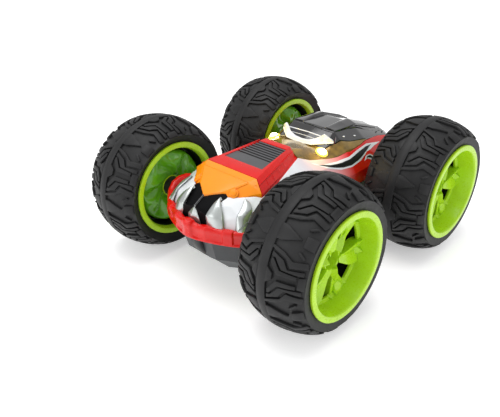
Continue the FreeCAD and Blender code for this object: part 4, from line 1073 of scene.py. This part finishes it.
def make_grille(pitch):
    """The dark mouth, and thin ribs over it at a pitch in millimetres."""
    bed = plan_panel("mouth_bed", mirrored_outline(MOUTH_PLAN), LAYER_BACK, -1.5, 0.1 * MM)
    front, lip_y, lip_z, half_rib, rise = -99.0, -100.2, 56.0, 0.3, -0.3
    ribs = []
    for index in range(-7, 8):
        x = index * pitch
        back = -90.2 + 0.66 * abs(x)
        ys = [front + (back - front) * step / 10 for step in range(11)]
        near, far = ([(edge, lip_y, lip_z)] + [(edge, y, skin_height(x, y) + rise) for y in ys]
                     for edge in (x - half_rib, x + half_rib))
        ribs.append(shade(thickened(ruled("rib", near, far, 1, 14), 1.3, (0, -1, 1)), 40.0))
    half_face = [(16.4, 50.0), (15.0, 63.0), (10.0, 66.5), (0, 69.0)]
    outline = [(-x, z) for x, z in half_face[:1]] + half_face + [(-x, z) for x, z in half_face[2:0:-1]]
    face = prism("mouth_face", outline, -99.2, -97.0, along="Y")
    return joined("grille", [bed, face]), joined("ribs", ribs)


def tooth(name, inner, outer, crown):
    """A pointed tooth that stands on the jaw."""
    near = [(x, front_place(x, z), z) for x, z in curve_through(inner)]
    far = [(x, front_place(x, z), z) for x, z in curve_through(outer)]

    def swell(u, v):
        rise = 0.4 + crown * math.sin(math.pi * u) ** 0.7 * max(0.0, 1 - v) ** 0.45
        return 0.25 * rise, -0.8 * rise, 0.5 * rise

    sheet = thickened(ruled(name, near, far, 16, 26, swell), 2.0, (0, -1, 0.4))
    return soften(sheet, 0.2 * MM, angle=40.0, smooth=50.0)


def make_teeth():
    """Two fangs a side, with a small tooth in the middle of the lip."""
    pieces = [tooth(name, *shape) for name, shape in TEETH.items()]
    pin = rod("pin", (34.6, -92.5, 59.9), (35.2, -85.0, 64.4), 0.8, 24)
    combine(pieces[1], pin, "DIFFERENCE")
    sides = both_sides("teeth", joined("teeth", pieces))
    middle_near = [(-6.6, -99.4, 57.0), (-5.4, -100.0, 62.4), (0.2, -98.6, 69.4)]
    middle_far = [(6.2, -99.4, 57.0), (5.0, -100.0, 62.4), (0.6, -98.6, 69.4)]

    def ridge(u, v):
        fullness = 1 - abs(2 * u - 1)
        return 0, -2.6 * fullness * (1 - v) ** 0.6, 0.6 * fullness * (1 - v)

    middle = thickened(ruled("middle_tooth", middle_near, middle_far, 8, 12, ridge), 1.4, (0, -1, 0.2))
    return joined("teeth", [sides, soften(middle, 0.15 * MM, angle=30.0, smooth=25.0)])


def make_lip():
    """The red lip round the mouth: a flange, a beaded face and a wavy edge."""
    line = [(-x, *rest) for x, *rest in reversed(LIP_LINE)] + LIP_LINE[1:]

    def place(share, outward, up):
        x, y, low, top, swelling = on_line(line, share)
        before, after = on_line(line, share - 0.012), on_line(line, share + 0.012)
        along = Vector((after[0] - before[0], after[1] - before[1])).normalized()
        reach = outward + (swelling if up > 0.13 and outward > -1.5 else 0.0)
        return x + along.y * reach, y - along.x * reach, low + (top - low) * up

    return soften(swept("lip", 300, LIP_SECTION, place), 0.12 * MM, segments=2, angle=50.0, smooth=40.0)


def make_brow():
    """A white band whose ends flare up beside the roof."""
    low = [(0, 11.4, 82.4), (6.0, 10.9, 83.4), (12.0, 11.2, 84.3), (24.6, 21.3, 85.2)]
    top = [(0, 13.9, 83.7), (6.4, 13.9, 84.4), (12.0, 14.8, 86.3), (18.9, 16.4, 90.6)]

    def swell(u, _):
        bulge = 0.5 * math.sin(math.pi * u)
        return 0, -bulge, bulge

    band = thickened(ruled("brow", low, top, 6, 40, swell), 1.5, (0, -0.4, 1))
    band = soften(band, 0.3 * MM, segments=3, angle=35.0, smooth=35.0)
    lower = [(0, 10.0, 81.2), (12.0, 9.6, 82.8), (25.0, 20.8, 83.9)]
    skirt = thickened(ruled("brow_skirt", lower, low, 3, 30), 1.0, (0, -1, 0.6))
    return both_sides("brow", joined("brow", [band, shade(skirt, 35.0)]))


def make_rails():
    """Two raised rails along the roof, blunt at the back."""
    line = curve_through(RAIL_LINE)

    def place(share, outward, up):
        x, y = on_line(line, share)
        ease = min(1.0, 0.2 + share * 3) * min(1.0, 0.3 + (1 - share) * 4)
        return x + outward, y, skin_height(x, y) + (up if up < 0 else up * ease)

    section = [(-2.2, -1.4), (-2.2, 1.4), (-1.6, 2.0), (-0.4, 2.2), (1.2, 1.9), (3.4, 1.2), (5.6, 0.5),
               (7.6, -0.1), (7.6, -1.4)]
    rail = soften(swept("rail", 70, section, place), 0.3 * MM, segments=3, angle=50.0, smooth=60.0)
    return both_sides("rails", rail)


def on_skin(x, y, lift=0.0):
    """The skin's point over a place of the plan, lifted."""
    return x, y, skin_height(x, y) + lift


LAMP_X, LAMP_Y, LAMP_TILT = 23.6, 8.5, math.radians(24)


def make_lamps():
    """A clear bulb on each side."""
    return joined("lamps", [dome("lamp_lens", on_skin(side * LAMP_X, LAMP_Y), 3.4, 0.7) for side in (-1, 1)])


def make_lamp_rings():
    """A ring round each bulb that glows: the lamp's light painted on its bezel."""
    pieces = []
    for side in (-1, 1):
        deselect()
        bpy.ops.mesh.primitive_torus_add(major_segments=40, minor_segments=12, major_radius=4.0 * MM,
                                         minor_radius=0.8 * MM)
        ring = added("lamp_ring")
        place = Vector(on_skin(side * LAMP_X, LAMP_Y, -0.4)) * MM
        ring.data.transform(Matrix.Translation(place) @ Matrix.Rotation(LAMP_TILT * side, 4, "Y"))
        pieces.append(shade(ring, 60.0))
    return joined("lamp_rings", pieces)


def make_keel():
    """A black bar down the middle of the tub's front, running on under it."""
    line = curve_through([(0, -101.0, 49.5), (0, -99.0, 38.0), (0, -92.0, 28.0), (0, -82.0, 19.2),
                          (0, -73.0, 15.6), (0, -66.0, 15.0)])

    def place(share, outward, up):
        x, y, z = on_line(line, share)
        before, after = on_line(line, share - 0.03), on_line(line, share + 0.03)
        along = Vector((after[1] - before[1], after[2] - before[2])).normalized()
        return x + outward, y + along.y * up, z - along.x * up

    section = [(-4.6, -4.0), (-4.6, -0.6), (-3.7, 0.3), (3.7, 0.3), (4.6, -0.6), (4.6, -4.0)]
    return soften(swept("keel", 40, section, place), 0.3 * MM, angle=50.0, smooth=50.0)


def make_roof(bevel):
    """The canopy's upper shell, its lower sides a step below it, rivets and bumps."""
    upper_plan = [(0, 27.4), (8.0, 27.4)] + ROOF_CREASE[1:] + [(21.0, 104.0), (0, 104.0)]
    upper = plan_panel("roof_upper", mirrored_outline(upper_plan), LAYER_BACK, 0.0, bevel)
    lower = plan_panel("roof_lower", mirrored_outline(ROOF_PLAN), -1.8, -0.75, bevel)
    places = ((19.6, 80), (19.6, 86), (19.6, 92), (7.5, 92.7), (7.5, 87.0), (23.4, 84), (23.0, 94))
    rivets = [dome("rivet", on_skin(side * x, y, -0.3), 0.75, 0.6, 12) for side in (-1, 1) for x, y in places]
    return joined("roof", [shade(upper, 50.0), shade(lower, 50.0)] + rivets)


def make_dots():
    """Two small white dots on each of the canopy's lower sides."""
    dots = [dome("dot", on_skin(x, y, -0.8), 1.0, 0.5, 16) for x, y in ((24.3, 34.9), (25.8, 47.7))]
    return both_sides("dots", joined("dots", dots))


def make_stripes():
    """Two thin lines across the screen."""
    half = 21.0
    stripes = []
    for y, wide in ((17.2, 0.3), (20.6, 0.7)):
        outline = [(-half, y), (half, y), (half, y + wide), (-half, y + wide)]
        stripes.append(plan_panel("stripe", outline, -0.5, -0.18, 0.05 * MM))
    return joined("stripes", stripes)


def make_film(name, band, tick, high):
    """A thin film on both sides: the long swoosh and the small tick behind it."""
    pieces = [side_panel(name, band, -1.1, high), side_panel("tick", tick, -1.1, high)]
    return both_sides(name, joined(name, pieces))


# Operators ----------------------------------------------------------------------------

def settings():
    """The sizes and colours that the panel keeps."""
    return bpy.context.scene.stunt_car


class CAR_OT_materials(bpy.types.Operator):
    """Make the finishes and give them to the carried-over parts"""
    bl_idname = "stunt_car.materials"
    bl_label = "Materials"

    def execute(self, context):
        make_materials(settings().colours)
        dress_frame()
        return {"FINISHED"}


TREAD_PHASES = {"front_left": 18.0, "front_right": -2.0, "rear_left": -22.0, "rear_right": -21.6}
SPOKE_PHASES = {"front_left": -12.0, "front_right": 0.0, "rear_left": -2.0, "rear_right": 0.0}


class CAR_OT_tyres(bpy.types.Operator):
    """Model the balloon tyres with their moulded tread"""
    bl_idname = "stunt_car.tyres"
    bl_label = "Tyres"

    def execute(self, context):
        tyre = make_tyre(settings().tyres)
        for corner in CORNERS:
            piece = copied(tyre, f"treaded_tyre_{corner}", wheel_place(corner, TREAD_PHASES[corner]))
            finished(piece, materials["tyre_rubber"], f"wheel_{corner}", "tyre_rubber", f"tyre_{corner}")
        bpy.data.objects.remove(tyre)
        return {"FINISHED"}


class CAR_OT_wheels(bpy.types.Operator):
    """Model the lime wheels with their clawed spokes and wavy backs"""
    bl_idname = "stunt_car.wheels"
    bl_label = "Wheels"

    def execute(self, context):
        sizes = settings().wheels
        (wheel, bowl), liner = make_wheel(sizes), make_shade_ring(sizes.steps)
        for corner in CORNERS:
            place = wheel_place(corner, SPOKE_PHASES[corner])
            piece = copied(wheel, f"spoked_rim_{corner}", place)
            finished(piece, materials["lime_plastic"], f"wheel_{corner}", "lime_plastic", f"rim_{corner}")
            # The bowl takes the darker copy of the lime: painted shade on the wheel's inner side.
            piece = copied(bowl, f"rim_bowl_{corner}", place)
            finished(piece, materials["lime_bowl"], f"wheel_{corner}", "lime_plastic")
            # A black ring inside each rim: painted shade.
            piece = copied(liner, f"rim_liner_{corner}", place)
            finished(piece, materials["wheel_gap"], f"wheel_{corner}", "black_plastic")
        for used in (wheel, bowl, liner):
            bpy.data.objects.remove(used)
        return {"FINISHED"}


class CAR_OT_body(bpy.types.Operator):
    """Model the nose, hood, mouth, teeth, lip, brow, roof and sides"""
    bl_idname = "stunt_car.body"
    bl_label = "Body"

    def execute(self, context):
        sizes = settings().body
        bevel = sizes.panel_bevel

        def put(piece, name, slot, *nodes, material=None):
            piece.name = piece.data.name = name
            finished(piece, materials[material or slot], "chassis", slot, *nodes)

        put(make_nose(bevel), "faceted_nose", "orange_plastic", "nose_panel")
        put(make_hood(bevel), "barred_hood", "red_plastic", "hood_panel")
        put(make_insert(sizes.slats, bevel), "louvred_insert", "grey_plastic", "hood_insert")
        # The black plate under the slats is painted shade in the louvre gaps.
        put(make_bed_shade(), "insert_bed", "black_plastic", material="film_black")
        # Known fault: the setting is in metres here, so all the ribs stand on the middle line.
        grille, ribs = make_grille(sizes.rib_pitch)
        # The mouth sheet takes the darker black: painted shade behind the ribs.
        put(grille, "dark_mouth", "black_plastic", "mouth_grille", material="mouth_black")
        # The ribs take the lighter grey: painted highlight on the grille's black ribs.
        put(ribs, "mouth_ribs", "black_plastic", material="rib_grey")
        put(make_teeth(), "teeth", "silver_plastic", "fangs")
        put(make_lip(), "beaded_lip", "red_plastic", "bumper_lip")
        put(make_brow(), "flared_brow", "white_plastic", "brow_band")
        put(make_roof(bevel), "canopy", "black_gloss", "roof_canopy")
        put(make_rails(), "canopy_rails", "black_gloss", "roof_rails")
        put(make_dots(), "canopy_dots", "white_plastic")
        put(make_lamps(), "lamp_lenses", "lamp", "headlights")
        # The bezels glow: the lamps' light painted on them.
        put(make_lamp_rings(), "lamp_bezels", "lamp", material="lamp_ring")
        screen = plan_panel("screen", mirrored_outline(SCREEN_PLAN), LAYER_BACK, -0.3, bevel * 0.5)
        put(screen, "striped_screen", "black_gloss", "windshield")
        put(make_stripes(), "screen_stripes", "white_plastic")
        windows = plan_panel("windows", mirrored_outline(WINDOW_PLAN), LAYER_BACK, -1.0, bevel * 0.5)
        put(windows, "lamp_windows", "amber_window", "cowl_windows")
        jaw = plan_panel("jaw", JAW_PLAN, LAYER_BACK, -1.1, bevel * 0.5)
        put(both_sides("jaw", jaw), "jaw_sides", "white_plastic", "jaw_panels")
        sides = plan_panel("sides", SIDE_PLAN, INSET_BACK, -0.8, bevel)
        put(both_sides("sides", sides), "painted_sides", "red_plastic", material="side_paint")
        white = make_film("swoosh", SWOOSH_TOP + SWOOSH_LOW, TICK_WHITE, -0.7)
        put(white, "swoosh_edges", "white_plastic")
        black = make_film("streak", STREAK_TOP + STREAK_LOW, TICK_BLACK, -0.6)
        put(black, "swoosh_streaks", "black_gloss", material="film_black")
        put(make_keel(), "front_keel", "black_plastic")
        return {"FINISHED"}


class CAR_OT_stage(bpy.types.Operator):
    """Set the pale floor, the soft studio light and the camera"""
    bl_idname = "stunt_car.stage"
    bl_label = "Stage"

    def execute(self, context):
        stage = settings().stage
        make_floor()
        make_lights(context.scene)
        make_camera(context.scene, stage)
        return {"FINISHED"}


def make_floor():
    """A wide pale floor with a faint glow of its own."""
    deselect()
    bpy.ops.mesh.primitive_plane_add(size=60.0)
    floor = added("floor")
    nodes = Nodes("studio floor")
    nodes.link(nodes.ramp(nodes.noise(2.0), [(0.3, (0.88, 0.88, 0.88)), (0.7, (0.91, 0.91, 0.91))]),
               nodes.shader.inputs["Base Color"])
    nodes.set(Roughness=0.9, Specular_IOR_Level=0.0)
    nodes.set(Emission_Color=(1.0, 1.0, 1.0, 1.0), Emission_Strength=0.4)
    floor.data.materials.append(nodes.material)


def area_light(name, place, target, size, power, colour=(1.0, 1.0, 1.0)):
    """A soft light at a place, turned to its target."""
    deselect()
    bpy.ops.object.light_add(type="AREA", location=place)
    lamp = bpy.context.view_layer.objects.active
    lamp.name = name
    lamp.data.size = size
    lamp.data.energy = power
    lamp.data.color = colour
    direction = Vector(target) - Vector(place)
    lamp.rotation_euler = direction.to_track_quat("-Z", "Y").to_euler()
    return lamp


def make_lights(scene):
    """An even white world, three softboxes and a small warm glow over each lamp."""
    world = bpy.data.worlds.new("studio")
    world.use_nodes = True
    background = world.node_tree.nodes["Background"].inputs
    background["Color"].default_value = (1.0, 1.0, 1.0, 1.0)
    background["Strength"].default_value = 0.7
    scene.world = world
    middle = (0.0, 0.0, 0.05)
    for name, place, size, power in (("overhead_softbox", (-0.15, -0.1, 1.1), 0.9, 7.0),
                                     ("front_softbox", (-0.2, -1.1, 0.55), 0.7, 2.5),
                                     ("side_softbox", (1.1, -0.1, 0.5), 0.7, 2.0)):
        area_light(name, place, middle, size, power)
    for side in (-1, 1):
        place, target = (0.026 * side, -0.004, 0.0935), (0.0235 * side, 0.008, 0.083)
        glow = area_light("lamp_glow", place, target, 0.006, 0.005, (1.0, 0.72, 0.12))
        glow.data.shape = "DISK"
    scene.view_settings.view_transform = "Standard"


def make_camera(scene, stage):
    """The camera, from its place, its direction round and over the car, and its tilt."""
    deselect()
    bpy.ops.object.camera_add(location=stage.camera_place)
    camera = bpy.context.view_layer.objects.active
    camera.name = "view_camera"
    camera.data.lens = stage.lens
    camera.data.clip_start = 0.01
    azimuth, elevation, roll = stage.azimuth, stage.elevation, stage.roll
    back = Vector((math.sin(azimuth) * math.cos(elevation), -math.cos(azimuth) * math.cos(elevation),
                   math.sin(elevation)))
    level = Vector((math.cos(azimuth), math.sin(azimuth), 0.0))
    upright = back.cross(level)
    right = level * math.cos(roll) + upright * math.sin(roll)
    up = upright * math.cos(roll) - level * math.sin(roll)
    camera.rotation_euler = Matrix((right, up, back)).transposed().to_euler()
    scene.camera = camera


class StuntCarSettings(bpy.types.PropertyGroup):
    """All groups of settings under one name"""
    colours: PointerProperty(type=CarColours)
    tyres: PointerProperty(type=TyreSizes)
    wheels: PointerProperty(type=WheelSizes)
    body: PointerProperty(type=BodySizes)
    stage: PointerProperty(type=StageSettings)


OPERATORS = (CAR_OT_materials, CAR_OT_tyres, CAR_OT_wheels, CAR_OT_body, CAR_OT_stage)


class CAR_PT_panel(bpy.types.Panel):
    """Lists the steps that model the car"""
    bl_label = "Stunt Car"
    bl_idname = "CAR_PT_panel"
    bl_space_type = "VIEW_3D"
    bl_region_type = "UI"
    bl_category = "Stunt Car"

    def draw(self, context):
        for operator in OPERATORS:
            self.layout.operator(operator.bl_idname)


GROUPS = (CarColours, TyreSizes, WheelSizes, BodySizes, StageSettings, StuntCarSettings)
CLASSES = GROUPS + OPERATORS + (CAR_PT_panel,)


def register():
    for cls in CLASSES:
        bpy.utils.register_class(cls)
    bpy.types.Scene.stunt_car = PointerProperty(type=StuntCarSettings)


def unregister():
    del bpy.types.Scene.stunt_car
    for cls in reversed(CLASSES):
        bpy.utils.unregister_class(cls)


def main():
    """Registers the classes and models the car."""
    register()
    bpy.ops.stunt_car.stage()
    bpy.ops.stunt_car.materials()
    bpy.ops.stunt_car.tyres()
    bpy.ops.stunt_car.wheels()
    bpy.ops.stunt_car.body()


if __name__ == "__main__":
    main()
